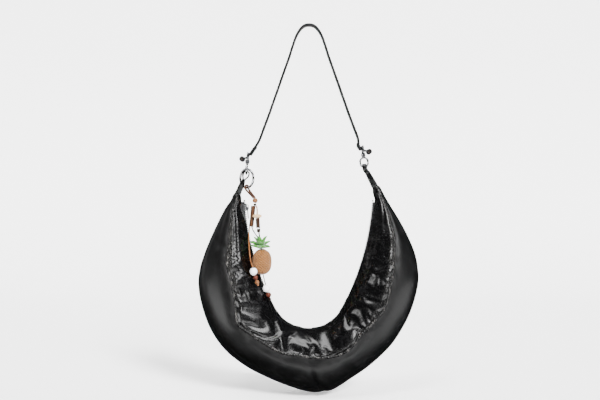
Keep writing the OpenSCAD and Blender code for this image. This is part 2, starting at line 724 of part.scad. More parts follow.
brown_bead_size = 8.2;
brown_bead_place = [-60.7, -17, -406.2];
lower_knot_size = 4.8;
lower_knot_place = [-58.6, -17, -412.6];
lace_size = 1.6;
lace_route = [[-89.2, -11.4, -304], [-90.2, -15, -314], [-90, -20, -328], [-88.6, -25.5, -343],
    [-86.4, -29.2, -356], [-83.4, -30.7, -364.1]];
lace_white_place = [-82.5, -30.8, -370];
red_bead_size = 7.4;
red_bead_place = [-79.4, -30.8, -379];
tan_bead_size = 6.8;
tan_bead_place = [-77.2, -30.8, -385.9];
cord_parts = 2;
cord_sides = 8;

// The charm's places are chosen for the ring's rest place, and go with the ring
module at_charm() {
    translate(ring_low - charm_home)
        children();
}

module ball(place, size) {
    translate(place)
        sphere(d = size, $fn = round_faces);
}

module charm_ring() {
    color(metal)
        translate([ring_top[0], 0, ring_top[1] - ring_line])
            rotate([0, 0, -ring_turn])
                rotate([90, 0, 0])
                    rotate_extrude($fn = round_faces)
                        translate([ring_line, 0])
                            circle(d = ring_wire, $fn = round_faces / 2);
}

module charm_loop_cord() {
    over = [for (a = loop_angles) charm_home + loop_round * (cos(a) * ring_across + sin(a) * [0, 0, 1])];
    color([0.42, 0.24, 0.13])
        tube(smooth(concat(loop_left_route, over, loop_right_route), 1), loop_size, cord_sides);
}
module top_bead() { color([0.72, 0.52, 0.36]) ball(top_bead_place, top_bead_size); }
module bead_knot() { color([0.15, 0.1, 0.08]) ball(bead_knot_place, bead_knot_size); }
module braid() { color([0.5, 0.36, 0.24]) tube(smooth(braid_route, cord_parts), braid_size, 2 * cord_sides); }
module side_cord() {
    color([0.85, 0.66, 0.5]) tube(smooth(side_cord_route, cord_parts), side_cord_size, cord_sides);
}

module toggle_bead() {
    half = (toggle_length - toggle_size) / 2;
    color([0.93, 0.87, 0.76])
        translate(toggle_place) {
            rotate([0, 90, 0])
                cylinder(h = 2 * half, d = toggle_size, center = true, $fn = round_faces);
            for (side = [-1, 1])
                ball([side * half, 0, 0], toggle_size);
        }
}
module woven_tube() {
    color([0.3, 0.2, 0.15]) tube(smooth(woven_route, cord_parts), woven_size, 2 * cord_sides);
}
module tube_knot() { color([0.25, 0.16, 0.12]) ball(tube_knot_place, tube_knot_size); }
module crown_cords() {
    color([0.1, 0.09, 0.08])
        for (route = [crown_left_route, crown_right_route])
            tube(smooth(route, cord_parts), crown_cord_size, cord_sides);
}

// One leaf: a thin round disc that stands out from the middle
module leaf(tilt, reach, size) {
    rotate([0, tilt, 0])
        translate([0, 0, reach])
            rotate([0, 90, 0])
                cylinder(h = leaf_thickness, d = size, center = true, $fn = leaf_sides);
}

module crown() {
    color([0.62, 0.72, 0.42])
        translate(crown_place) {
            cylinder(h = crown_core_height, d = crown_core, $fn = round_faces);
            for (k = [0 : leaf_count - 1])
                rotate([0, 0, 360 * k / leaf_count])
                    leaf(outer_leaf_tilt, outer_leaf_reach, leaf_size);
            for (k = [0 : inner_leaf_count - 1])
                rotate([0, 0, 360 * (k + 0.5) / inner_leaf_count])
                    leaf(inner_leaf_tilt, inner_leaf_reach, leaf_size * inner_leaf_share);
        }
}

module fruit_body() {
    function outline(t) = fruit_width / 2 * pow(1 - pow(abs(t), fruit_roundness), 1 / fruit_flatness);
    steps = [for (k = [-fruit_steps : fruit_steps]) sin(90 * k / fruit_steps)];
    color([0.55, 0.36, 0.22])
        translate(fruit_place)
            rotate_extrude($fn = round_faces)
                polygon([for (t = steps) [outline(t), t * fruit_height / 2]]);
}

module lower_cords() {
    color([0.1, 0.09, 0.08])
        for (route = [lower_left_route, lower_right_route])
            tube(smooth(route, cord_parts), lower_cord_size, cord_sides);
}
module lower_white_bead() { color([0.93, 0.92, 0.9]) ball(lower_white_place, white_bead); }
module lower_brown_bead() { color([0.4, 0.12, 0.08]) ball(brown_bead_place, brown_bead_size); }
module lower_knot() { color([0.2, 0.12, 0.1]) ball(lower_knot_place, lower_knot_size); }
module lace() { color([0.7, 0.55, 0.4]) tube(smooth(lace_route, cord_parts), lace_size, cord_sides); }
module lace_white_bead() { color([0.93, 0.92, 0.9]) ball(lace_white_place, white_bead); }
module lace_red_bead() { color([0.35, 0.08, 0.08]) ball(red_bead_place, red_bead_size); }
module lace_tan_bead() { color([0.75, 0.6, 0.45]) ball(tan_bead_place, tan_bead_size); }

strap();
strap_lining();
strap_dowels();
left_eye();
left_hook();
left_gate();
left_gate_pin();
right_eye();
right_hook();
right_gate();
right_gate_pin();
front_panel();
back_panel();
base_panel();
front_welt();
back_welt();
lining();
front_zip_tape();
back_zip_tape();
front_zip_teeth();
back_zip_teeth();
zip_stops();
left_tab();
right_tab();
left_neck_binding();
right_neck_binding();
zip_slider();
zip_pull();
charm_ring();
at_charm() charm_loop_cord();
at_charm() top_bead();
at_charm() bead_knot();
at_charm() braid();
at_charm() side_cord();
at_charm() toggle_bead();
at_charm() woven_tube();
at_charm() tube_knot();
at_charm() crown_cords();
at_charm() crown();
at_charm() fruit_body();
at_charm() lower_cords();
at_charm() lower_white_bead();
at_charm() lower_brown_bead();
at_charm() lower_knot();
at_charm() lace();
at_charm() lace_white_bead();
at_charm() lace_red_bead();
at_charm() lace_tan_bead();
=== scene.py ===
# A half moon bag that hangs by its strap: the looks of every piece, in the frame of its CAD model.
# X goes to the right, Y to the back and Z up from under the strap's top. Lengths are metres, and
# the tables of places and sizes are millimetres.
import bpy
import math
import numpy as np
from mathutils import Vector, Matrix


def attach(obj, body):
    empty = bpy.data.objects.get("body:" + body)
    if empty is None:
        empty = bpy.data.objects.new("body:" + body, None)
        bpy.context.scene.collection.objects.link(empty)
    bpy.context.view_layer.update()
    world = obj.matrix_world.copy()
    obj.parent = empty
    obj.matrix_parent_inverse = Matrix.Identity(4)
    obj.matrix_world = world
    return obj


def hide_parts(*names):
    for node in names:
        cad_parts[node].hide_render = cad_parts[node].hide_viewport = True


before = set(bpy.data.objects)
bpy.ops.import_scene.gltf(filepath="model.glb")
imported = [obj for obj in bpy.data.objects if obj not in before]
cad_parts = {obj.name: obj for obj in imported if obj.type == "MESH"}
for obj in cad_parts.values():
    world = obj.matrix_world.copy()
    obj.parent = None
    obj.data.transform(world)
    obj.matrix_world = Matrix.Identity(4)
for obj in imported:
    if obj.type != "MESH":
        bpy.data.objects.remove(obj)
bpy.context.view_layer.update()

# Camera, floor and light. The bag hangs in front of a plain pale backdrop that curves into the
# floor just under it, and is seen level with the middle of its height. The light is soft and
# comes from large panels beside and above it, so the leather shows long pale streaks.
scene = bpy.context.scene
mm = 0.001
floor_height = -0.557


def new_object(name, data, body=None):
    made = bpy.data.objects.new(name, data)
    scene.collection.objects.link(made)
    if hasattr(data, "polygons"):
        data.polygons.foreach_set("use_smooth", [True] * len(data.polygons))
    if body:
        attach(made, body)
    return made


def new_mesh(name, points, faces):
    data = bpy.data.meshes.new(name)
    data.from_pydata([tuple(p) for p in points], [], [tuple(f) for f in faces])
    data.validate()
    data.update()
    return data


def grid_faces(rows, columns, wrap=False, ends=False):
    """The quads of a grid of points. It may close on itself sideways, and have its ends filled."""
    faces = [(r * columns + c, r * columns + (c + 1) % columns,
              (r + 1) * columns + (c + 1) % columns, (r + 1) * columns + c)
             for r in range(rows - 1) for c in range(columns if wrap else columns - 1)]
    if ends:
        faces += [tuple(range(columns)), tuple(reversed(range((rows - 1) * columns, rows * columns)))]
    return faces


camera_data = bpy.data.cameras.new("camera")
camera_data.lens = 47.4
camera_data.sensor_width = 36
camera_data.dof.use_dof = False
camera = new_object("camera", camera_data)
camera.location = (-0.0137, -1.2, -0.2642)
camera.rotation_euler = (math.pi / 2, 0, 0)
scene.camera = camera


for name, place, aim_height, width, height, watts in (
        ("key_panel", (0.9, -1.9, 0.9), -0.35, 0.4, 1.1, 24),
        ("low_right_panel", (1.25, -0.8, -0.8), -0.45, 1.4, 0.7, 8),
        ("low_left_panel", (-1.3, -1.1, -0.7), -0.45, 0.9, 0.6, 9),
        ("low_front_panel", (0.2, -2.0, -0.9), -0.45, 1.4, 0.4, 8),
        ("left_panel", (-1.9, 0.1, 0.1), -0.3, 0.4, 1.8, 5),
        ("top_panel", (0.1, -0.5, 1.6), -0.35, 1.8, 0.8, 36)):
    data = bpy.data.lights.new(name, "AREA")
    data.shape = "RECTANGLE"
    data.size, data.size_y = width, height
    data.energy = watts
    light = new_object(name, data)
    light.location = place
    light.rotation_euler = (Vector((0, 0, aim_height)) - Vector(place)).to_track_quat("-Z", "Y").to_euler()
for name, energy, direction in (("high_lamp", 13.0, (0.8, -1.3, 1.0)),
                                ("second_lamp", 2.0, (-0.55, -0.75, 1.4))):
    lamp_data = bpy.data.lights.new(name, "SUN")
    lamp_data.energy = energy
    lamp_data.angle = 0.3
    lamp = new_object(name, lamp_data)
    lamp.rotation_euler = Vector(direction).to_track_quat("Z", "Y").to_euler()
    lamp.visible_glossy = False

world = bpy.data.worlds.new("world")
scene.world = world
world.use_nodes = True
world.node_tree.nodes["Background"].inputs["Color"].default_value = (0.86, 0.86, 0.86, 1)
world.node_tree.nodes["Background"].inputs["Strength"].default_value = 0.05

backdrop_reach, backdrop_height = 12.0, 3.5
bend_place, bend_radius, bend_steps = 1.1, 0.9, 24
profile = [(-backdrop_reach, 0.0)]
profile += [(bend_place + bend_radius * math.sin(a), bend_radius - bend_radius * math.cos(a))
            for a in [math.pi / 2 * k / bend_steps for k in range(bend_steps + 1)]]
profile += [(bend_place + bend_radius, backdrop_height)]
backdrop = new_object("backdrop", new_mesh(
    "backdrop",
    [(x, y, z + floor_height) for y, z in profile for x in (-backdrop_reach, backdrop_reach)],
    grid_faces(len(profile), 2)))
backdrop.visible_glossy = False

# A plain pale screen stands all round, far off, so that a view from any side ends in the same
# paper. It is there for the camera alone, and throws no light or shadow on the bag.
screen_radius, screen_height, screen_steps = 11.0, 9.0, 64


def circle(steps):
    """The angles of even steps round a circle."""
    return [2 * math.pi * k / steps for k in range(steps)]


screen = new_object("screen", new_mesh(
    "screen",
    [(screen_radius * math.cos(a), screen_radius * math.sin(a), z)
     for z in (floor_height, floor_height + screen_height) for a in circle(screen_steps)],
    grid_faces(2, screen_steps, wrap=True)))
screen.visible_glossy = screen.visible_diffuse = screen.visible_shadow = False


# Paper of the backdrop and of the screen: matt, almost white, and lit a little from within, as
# a sheet is that stands in bright light. A material is put together from values that can be
# added and multiplied.
class Socket:
    """A shader value, with the usual signs for sums and products."""

    def __init__(self, tree, value):
        self.tree, self.value = tree, value

    def _math(self, operation, *inputs):
        made = self.tree.nodes.new("ShaderNodeMath")
        made.operation = operation
        for place, given in enumerate(inputs):
            link(self.tree, made.inputs[place], given)
        return Socket(self.tree, made.outputs[0])

    def __add__(self, other):
        return self._math("ADD", self, other)

    def __sub__(self, other):
        return self._math("SUBTRACT", self, other)

    def __mul__(self, other):
        return self._math("MULTIPLY", self, other)

    def __rsub__(self, other):
        return self._math("SUBTRACT", other, self)

    __radd__, __rmul__ = __add__, __mul__

    def power(self, other):
        return self._math("POWER", self, other)

    def sine(self):
        return self._math("SINE", self)

    def ramp(self, low, high):
        """Goes smoothly from 0 to 1 as this value goes from low to high."""
        made = self.tree.nodes.new("ShaderNodeMapRange")
        made.interpolation_type = "SMOOTHSTEP"
        for place, given in zip(("Value", "From Min", "From Max"), (self, low, high)):
            link(self.tree, made.inputs[place], given)
        return Socket(self.tree, made.outputs["Result"])


def link(tree, target, given):
    if isinstance(given, Socket):
        tree.links.new(given.value, target)
    elif given is not None:
        target.default_value = given


class Finish:
    """One procedural material. Its methods add nodes, and end with the surface's own values."""

    def __init__(self, name):
        self.material = bpy.data.materials.new(name)
        self.material.use_nodes = True
        self.tree = self.material.node_tree
        self.surface = self.tree.nodes["Principled BSDF"]
        self.place = Socket(self.tree, self.node("ShaderNodeTexCoord").outputs["Object"])

    def node(self, kind, settings=None, inputs=None):
        made = self.tree.nodes.new(kind)
        for name, given in (settings or {}).items():
            setattr(made, name, given)
        for name, given in (inputs or {}).items():
            link(self.tree, made.inputs[name], given)
        return made

    def noise(self, scale, detail=3.0, rough=0.5, distortion=0.0):
        made = self.node("ShaderNodeTexNoise", None, {
            "Vector": self.place, "Scale": scale, "Detail": detail,
            "Roughness": rough, "Distortion": distortion})
        return Socket(self.tree, made.outputs["Fac"])

    def cells(self, scale, feature="DISTANCE_TO_EDGE"):
        made = self.node("ShaderNodeTexVoronoi", {"feature": feature},
                         {"Vector": self.place, "Scale": scale})
        return Socket(self.tree, made.outputs["Distance"])

    def attribute(self, name):
        made = self.node("ShaderNodeAttribute", {"attribute_name": name})
        return Socket(self.tree, made.outputs["Fac"])

    def axes(self):
        made = self.node("ShaderNodeSeparateXYZ", None, {"Vector": self.place})
        return [Socket(self.tree, made.outputs[k]) for k in range(3)]

    def blend(self, share, first, second):
        made = self.node("ShaderNodeMix", {"data_type": "RGBA"})
        link(self.tree, made.inputs["Factor"], share)
        for name, given in ((6, first), (7, second)):
            link(self.tree, made.inputs[name], given if isinstance(given, Socket) else (*given, 1))
        return Socket(self.tree, made.outputs[2])

    def bump(self, height, depth, strength=1.0, under=None):
        inputs = {"Height": height, "Distance": depth, "Strength": strength}
        if under is not None:
            inputs["Normal"] = under
        return Socket(self.tree, self.node("ShaderNodeBump", None, inputs).outputs["Normal"])

    def end(self, colour, roughness, normal=None, **constants):
        names = {"metallic": "Metallic", "coat": "Coat Weight", "coat_roughness": "Coat Roughness",
                 "specular": "Specular IOR Level", "sheen": "Sheen Weight"}
        base = self.surface.inputs
        link(self.tree, base["Base Color"], colour if isinstance(colour, Socket) else (*colour, 1))
        link(self.tree, base["Roughness"], roughness)
        if normal is not None:
            link(self.tree, base["Normal"], normal)
        for name, given in constants.items():
            link(self.tree, base[names[name]], given)
        return self.material


for stand, name, grain, glow, first, second in (
        (backdrop, "backdrop_paper", 3.0, 0.56, 0.80, 0.83),
        (screen, "screen_paper", 0.5, 4.0, 0.02, 0.03)):
    paper = Finish(name)
    tone = paper.noise(grain, 2.0)
    paper.surface.inputs["Emission Color"].default_value = (0.9, 0.9, 0.9, 1)
    paper.surface.inputs["Emission Strength"].default_value = glow
    stand.data.materials.append(paper.end(
        paper.blend(tone, (first,) * 3, (second,) * 3), 0.9, paper.bump(tone, 0.001), specular=0.1))

# Front and back panels: two soft crescents of glossy waxed leather. They are cut longer than
# their seams, so they gather into folds between the piping and the zip, and the long narrow
# horns crease lengthways.

# Each row is one section across the bag, from the left neck to the right one:
# outer edge (x, z), inner edge (x, z), half depth, seam share, half the zip's opening.
body_rows = np.array([
    (-114.2, -257.2, -104.3, -261.2, 5.5, 0.45, 0.4), (-118.5, -266.2, -103.9, -269.3, 7.2, 0.46, 2.4),
    (-126.8, -277.7, -102.5, -277.7, 11, 0.5, 5.4), (-139, -302, -94.8, -297.4, 16.3, 0.52, 6),
    (-149.3, -324, -91.4, -318.1, 21.1, 0.47, 6), (-159.2, -349.6, -86.9, -338.5, 25.9, 0.46, 6),
    (-164.5, -369.5, -81.3, -358.7, 30.2, 0.475, 6), (-166.8, -392.2, -74.6, -378.5, 34.1, 0.44, 6),
    (-160.9, -424.8, -64.2, -404.4, 37.9, 0.47, 6), (-149, -458.1, -51.9, -429.5, 41.3, 0.54, 6),
    (-129.1, -487.6, -47.6, -436.4, 43.2, 0.47, 6), (-98.6, -512.8, -39.5, -445.4, 45.1, 0.43, 6),
    (-59.2, -533.4, -27.9, -453.5, 46.6, 0.42, 6), (-25.9, -546.4, -14.7, -458.6, 47.5, 0.37, 6),
    (7.6, -554.5, -0.7, -460.3, 48, 0.36, 6), (36.4, -549.2, 13.3, -458.6, 47.5, 0.4, 6),
    (62.2, -533.4, 26.5, -453.5, 46.6, 0.46, 6), (86.3, -517.2, 38.1, -445.4, 45.1, 0.48, 6),
    (110.9, -496, 46.2, -436.4, 43.2, 0.44, 6), (129.7, -474.9, 50.5, -429.5, 41.3, 0.47, 6),
    (151.9, -437.6, 62.8, -404.4, 37.9, 0.54, 6), (164.8, -396.8, 73.2, -378.5, 34.1, 0.51, 6),
    (165.5, -369.5, 79.9, -358.7, 30.2, 0.52, 6), (160.2, -343.6, 85.5, -338.5, 25.9, 0.54, 6),
    (149, -318.5, 90, -318.1, 21.1, 0.61, 6), (138.1, -298.2, 93.4, -297.4, 16.3, 0.62, 6),
    (125.1, -277.1, 95.8, -276.6, 11.5, 0.7, 6), (116.8, -263.1, 96.8, -262.7, 8.6, 0.7, 6),
    (106.9, -245.1, 98.3, -248.5, 6, 0.7, 0.4),
])
last_row = len(body_rows) - 1
necks = {"left": (-107.9, -254.2), "right": (99.4, -242.4)}
depth_skew = 0.12
leather = 1.6
seam_fold_height, zip_fold_height, pleat_height, ridge_height = 3.4, 1.6, 1.8, 2.2
swell_height, crumple_height, panel_sink = 2.2, 0.1, 1.2


def curve_at(points, u):
    """Points on the smooth curve through the given ones. One unit of u is one step between them."""
    points = np.asarray(points, float)
    count = len(points)
    u = np.clip(np.atleast_1d(np.asarray(u, float)), 0, count - 1)
    i = np.minimum(u.astype(int), count - 2)
    t = (u - i)[:, None] if points.ndim > 1 else u - i
    before = np.where((i > 0)[:, None] if points.ndim > 1 else i > 0,
                      points[np.maximum(i - 1, 0)], 2 * points[0] - points[1])
    after = np.where((i + 2 < count)[:, None] if points.ndim > 1 else i + 2 < count,
                     points[np.minimum(i + 2, count - 1)], 2 * points[-1] - points[-2])
    b, c = points[i], points[i + 1]
    return (2 * b + (c - before) * t + (2 * before - 5 * b + 4 * c - after) * t ** 2
            + (3 * b - before - 3 * c + after) * t ** 3) / 2


def length_along(path):
    """How far each point of a path lies from its start, measured along it."""
    return np.concatenate([[0], np.cumsum(np.linalg.norm(np.diff(path, axis=0), axis=1))])


class Sections:
    """The bag's sections at the places u along it: their edges, depths, seams and openings."""

    def __init__(self, u):
        rows = curve_at(body_rows, u)
        self.outer, self.inner = rows[:, 0:2], rows[:, 2:4]
        self.depth, self.seam, self.open = rows[:, 4], rows[:, 5], rows[:, 6]
        self.middle = (self.outer + self.inner) / 2
        self.reach = (self.outer - self.inner) / 2
        self.length = np.linalg.norm(self.reach, axis=1)
        self.seam_angle = np.arccos(1 - 2 * self.seam)

    def zip_angle(self, inset=0.0):
        share = self.open / (self.depth - inset) / (1 - depth_skew)
        return np.arcsin(np.minimum(0.95, share))

    def points(self, angle, inset=0.0):
        """Points of the skin in metres, one row for each section. Angles go round the front."""
        width = -np.cos(angle) * (self.length - inset)[:, None]
        flat = self.middle[:, None] + (self.reach / self.length[:, None])[:, None] * width[:, :, None]
        y = -np.sin(angle) * (self.depth - inset)[:, None] * (1 - depth_skew * np.cos(angle))
        return np.stack([flat[:, :, 0], y, flat[:, :, 1]], axis=2) * mm

    def skin(self, start, end, columns, inset=0.0):
        """A grid of points between two angles, and how far along and across it they lie, 0 to 1."""
        across = np.linspace(0, 1, columns)
        points = self.points(start[:, None] + (end - start)[:, None] * across, inset)
        length = length_along(points[:, columns // 2])
        return points, (length / length[-1])[:, None], across[None, :]


def smooth_noise(shape, cells, seed):
    """Smooth random heights from -1 to 1 on a grid of that shape, with the given number of cells."""
    coarse = np.random.default_rng(seed).uniform(-1, 1, (cells[0] + 3, cells[1] + 3))
    along = curve_at(coarse, np.linspace(1, cells[0] + 1, shape[0]))
    return curve_at(along.T, np.linspace(1, cells[1] + 1, shape[1])).T


def outward_of(points, middle):
    """Unit normals of a grid of points, which point away from the middle of each row."""
    normal = np.cross(np.gradient(points, axis=1), np.gradient(points, axis=0))
    normal /= np.maximum(np.linalg.norm(normal, axis=2, keepdims=True), 1e-12)
    centre = np.stack([middle[:, 0] * mm, 0 * middle[:, 0], middle[:, 1] * mm], axis=1)[:, None]
    return normal * np.sign(np.sum(normal * (points - centre)))


def bell(value, centre, width):
    return np.exp(-((value - centre) / width) ** 2)


def both_ends(value, width):
    """A bell at each end of a value that goes from 0 to 1."""
    return np.maximum(bell(value, 0.0, width), bell(value, 1.0, width))


def tucked(points, cut):
    """The same sheet with its two ends drawn on into the neck bindings."""
    ends = []
    for row, neck in ((0, necks["left"]), (-1, necks["right"])):
        middle = np.array([cut.middle[row][0], 0, cut.middle[row][1]]) * mm
        away = np.array([neck[0], 0, neck[1]]) * mm - middle
        away /= np.linalg.norm(away)
        ends.append([middle + (points[row] - middle) * share + away * step * mm
                     for share, step in ((0.84, 1.4), (0.7, 3.4))])
    return np.concatenate([np.array(ends[0][::-1]), points, np.array(ends[1])])


def panel(side, seed):
    """The points of one soft panel from the zip to the piping, and how much painted ridge highlight each of
    them gets.
    """
    rows, columns = 300, 44
    cut = Sections(np.linspace(0, last_row, rows))
    start, end = cut.zip_angle(), cut.seam_angle - 0.4 / cut.length
    if side < 0:
        start, end = 2 * math.pi - start, 2 * math.pi - end
    base, s, t = cut.skin(start, end, columns)
    outward = outward_of(base, cut.middle)
    size = np.linalg.norm(base[:, -1] - base[:, 0], axis=1) / (70 * mm)

    # Gathers: broad soft folds that start at the piping, and smaller ones that start at the zip
    drift = smooth_noise((rows, columns), (26, 3), seed) * 0.008
    seam_fold = np.zeros((rows, columns))
    rng = np.random.default_rng(seed + 1)
    place = 0.16
    while place < 0.86:
        reach = rng.uniform(0.35, 0.85)
        width = rng.uniform(0.008, 0.017)
        slant = rng.uniform(-0.06, 0.06)
        fold = bell(s + drift, place + slant * (1 - t), width * (1 + 0.9 * (1 - t)))
        seam_fold += rng.uniform(0.6, 1.2) * fold * bell(t, 1.0, reach)
        place += rng.uniform(0.026, 0.048)
    zip_fold = np.zeros((rows, columns))
    place = 0.06
    while place < 0.95:
        reach = rng.uniform(0.15, 0.45)
        slant = rng.uniform(-0.08, 0.08)
        tall = rng.uniform(0.3, 1.0)
        fold = bell(s + drift, place + slant * t, rng.uniform(0.006, 0.012))
        zip_fold += tall * fold * bell(t, 0.0, reach)
        place += rng.uniform(0.03, 0.06)
    # Long creases that fan out of the two necks, a full ridge beside the piping, and slow swells
    horn = both_ends(s, 0.24)
    pleats = np.sin((t + 0.06 * smooth_noise((rows, columns), (9, 2), seed + 2)) * 2 * math.pi * 1.9 + side)
    pleats = np.maximum(pleats, -0.25) * horn
    ridge = bell(t, 0.9, 0.06) * horn
    swell = smooth_noise((rows, columns), (14, 3), seed + 3)
    crumple = smooth_noise((rows, columns), (60, 9), seed + 4)
    hem = np.minimum(1, np.minimum(t / 0.1, (1 - t) / 0.07))
    scale = np.minimum(1.15, size)[:, None]
    calm = 1 - 0.8 * horn
    height = (seam_fold_height * seam_fold + zip_fold_height * zip_fold * calm + pleat_height * pleats
              + swell_height * swell * calm + crumple_height * crumple * calm
              + ridge_height * ridge - panel_sink) * scale * mm
    end_hold = np.minimum(1, np.minimum(s, 1 - s) / 0.015)
    points = base + outward * (height * hem * end_hold)[:, :, None]
    # Painted highlight: a band beside the piping, strongest in the horns, where the leather gets pale specks
    painted_ridge_highlight = bell(t, 0.93, 0.045) * (0.12 + 0.88 * horn)
    return tucked(points, cut), np.pad(painted_ridge_highlight, ((2, 2), (0, 0)), "edge")


def settle(made, hold, frames, growth, farthest):
    """Lets a sheet buckle as real leather does: it grows a little while its held points stay."""
    data = made.data
    start = np.array([v.co for v in data.vertices])
    group = made.vertex_groups.new(name="held")
    for index, weight in enumerate(hold):
        if weight > 0:
            group.add([index], float(weight), "REPLACE")
    cloth = made.modifiers.new("cloth", "CLOTH")
    settings = cloth.settings
    settings.quality = 6
    settings.mass = 0.6
    settings.tension_stiffness = settings.compression_stiffness = 30
    settings.shear_stiffness = 15
    settings.bending_stiffness = 12.0
    settings.vertex_group_mass = "held"
    settings.shrink_min = -growth
    settings.use_pressure = True
    settings.uniform_pressure_force = 0.4
    settings.effector_weights.gravity = 0
    cloth.collision_settings.use_collision = cloth.collision_settings.use_self_collision = False
    cloth.point_cache.frame_start, cloth.point_cache.frame_end = 1, frames
    for step in range(1, frames + 1):
        scene.frame_set(step)
    graph = bpy.context.evaluated_depsgraph_get()
    end = np.array([v.co for v in made.evaluated_get(graph).data.vertices])
    made.modifiers.remove(cloth)
    move = end - start
    far = np.linalg.norm(move, axis=1)
    move *= np.minimum(1, farthest * mm / np.maximum(far, 1e-9))[:, None]
    data.vertices.foreach_set("co", (start + move).ravel())
    data.update()
    scene.frame_set(1)


def sheet_object(name, points, thickness, flip, held=None):
    """A sheet through a grid of points. Where some are held, it buckles between them first."""
    faces = grid_faces(*points.shape[:2])
    if flip:
        faces = [tuple(reversed(f)) for f in faces]
    made = new_object(name, new_mesh(name, points.reshape(-1, 3), faces))
    if held is not None:
        settle(made, held.ravel(), frames=16, growth=0.014, farthest=3.5)
    solid = made.modifiers.new("thickness", "SOLIDIFY")
    solid.thickness = thickness * mm
    solid.offset = -1
    fine = made.modifiers.new("smooth", "SUBSURF")
    fine.levels = fine.render_levels = 1
    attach(made, "bag")
    return made


def mark(made, values):
    """Stores a number from 0 to 1 for each point. The leather paints pale highlight specks there and deepens
    its cracks.
    """
    made.data.attributes.new("painted_ridge_highlight", "FLOAT", "POINT").data.foreach_set("value", np.ravel(values))


def dress(made, name, material):
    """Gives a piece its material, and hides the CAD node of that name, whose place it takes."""
    made.data.materials.append(material)
    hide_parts(name)


def waxed_leather(name, dark, pale, gloss, crackle):
    """Waxed black leather: a fine pebble, hairline cracks where it folds, random paler wear, and pale specks
    painted on its ridges as a highlight.
    """
    finish = Finish(name)
    painted_ridge_highlight = finish.attribute("painted_ridge_highlight")
    grain = finish.cells(900.0)
    cracks = finish.cells(240.0)
    fine = finish.noise(420.0, 4.0, 0.6)
    broad = finish.noise(26.0, 3.0, 0.55)
    patches = finish.noise(9.0, 2.0)
    worn = finish.noise(70.0, 5.0, 0.7, distortion=1.2).ramp(0.5, 0.72)
    crack_lines = (1 - cracks.ramp(0.0, 0.09)) * (broad.ramp(0.4, 0.65) * crackle + painted_ridge_highlight * 0.6)
    height = fine * 0.35 + grain.ramp(0.0, 0.5) * 0.15 - crack_lines
    normal = finish.bump(broad, 0.0004, 0.5)
    normal = finish.bump(finish.noise(95.0, 4.0, 0.6, distortion=0.6), 0.00008, 0.6, normal)
    normal = finish.bump(height, 0.00006, 0.7, normal)
    # Painted highlight: pale specks where the mark is set, standing in for glints on the crinkled ridge
    highlight_specks = finish.noise(800.0, 5.0, 0.75).ramp(0.52, 0.66) * painted_ridge_highlight
    colour = finish.blend(highlight_specks, finish.blend(worn * 0.6, dark, pale), (0.16, 0.156, 0.148))
    roughness = 0.38 - gloss * 0.2 + patches * 0.1 + fine * 0.05 + worn * 0.1
    return finish.end(colour, roughness, normal, coat=0.3 * gloss, coat_roughness=0.15, specular=0.6)


black_leather = waxed_leather("black_leather", (0.0006, 0.0006, 0.0007), (0.005, 0.005, 0.0055), 0.95, 0.08)

hems = {}
for name, side, seed in (("front_panel", 1, 11), ("back_panel", -1, 47)):
    points, painted_ridge_highlight = panel(side, seed)
    hems[-side] = points[:, 0].copy()
    held = np.zeros(points.shape[:2])
    held[:, 0] = held[:, -1] = 1
    held[:4, :] = held[-4:, :] = 1
    held = np.maximum(held, 0.92 * both_ends(np.linspace(0, 1, len(points))[:, None], 0.22))
    made = sheet_object(name, points, leather, side > 0, held)
    mark(made, painted_ridge_highlight)
    dress(made, name, black_leather)

# Base panel: one wide piece of duller leather that wraps the outer edge of the bag from neck to
# neck, between the two seams. It is pulled smooth, and creases only lengthways in the horns.
base_leather = waxed_leather("base_leather", (0.0008, 0.0008, 0.0009), (0.006, 0.006, 0.0065), 0.2, 0.1)
broad_swell, small_swell, crease_height, pinch_height = 0.9, 0.25, 1.9, 0.9
dent_depth, lip_height, base_sink = 2.6, 1.2, 0.6
rows, columns = 220, 64
cut = Sections(np.linspace(0, last_row, rows))
start = cut.seam_angle + 0.4 / cut.length
base, s, t = cut.skin(start, 2 * math.pi - start, columns)
outward = outward_of(base, cut.middle)
swell = (broad_swell * smooth_noise((rows, columns), (16, 4), 90)
         + small_swell * smooth_noise((rows, columns), (44, 12), 91))
horn = both_ends(s, 0.15)
drift = 0.04 * smooth_noise((rows, columns), (10, 2), 92)
creases = crease_height * np.sin((t + drift) * 2 * math.pi * 4) * horn
pinch = pinch_height * smooth_noise((rows, columns), (90, 2), 93) * (bell(t, 0, 0.06) + bell(t, 1, 0.06))
# One sharp dent with a raised lip, close to the bag's lowest place
slanted = s - 0.06 * (t - 0.35)
dent = lip_height * bell(slanted, 0.527, 0.01) * bell(t, 0.3, 0.2)
dent -= dent_depth * bell(slanted, 0.515, 0.006) * bell(t, 0.3, 0.16)
held = np.minimum(1, np.minimum(t, 1 - t) / 0.03) * np.minimum(1, np.minimum(s, 1 - s) / 0.015)
size = np.minimum(1, cut.depth / 40)[:, None]
height = (swell * size + creases * size + pinch + dent - base_sink) * held * mm
points = tucked(base + outward * height[:, :, None], cut)
base_panel = sheet_object("base_panel", points, leather, True)
# Painted highlight along both seams of the base panel, stronger in the horns
painted_ridge_highlight = bell(np.minimum(t, 1 - t), 0.0, 0.03) * (0.1 + 0.6 * horn)
mark(base_panel, np.pad(painted_ridge_highlight, ((2, 2), (0, 0)), "edge"))
dress(base_panel, "base_panel", base_leather)

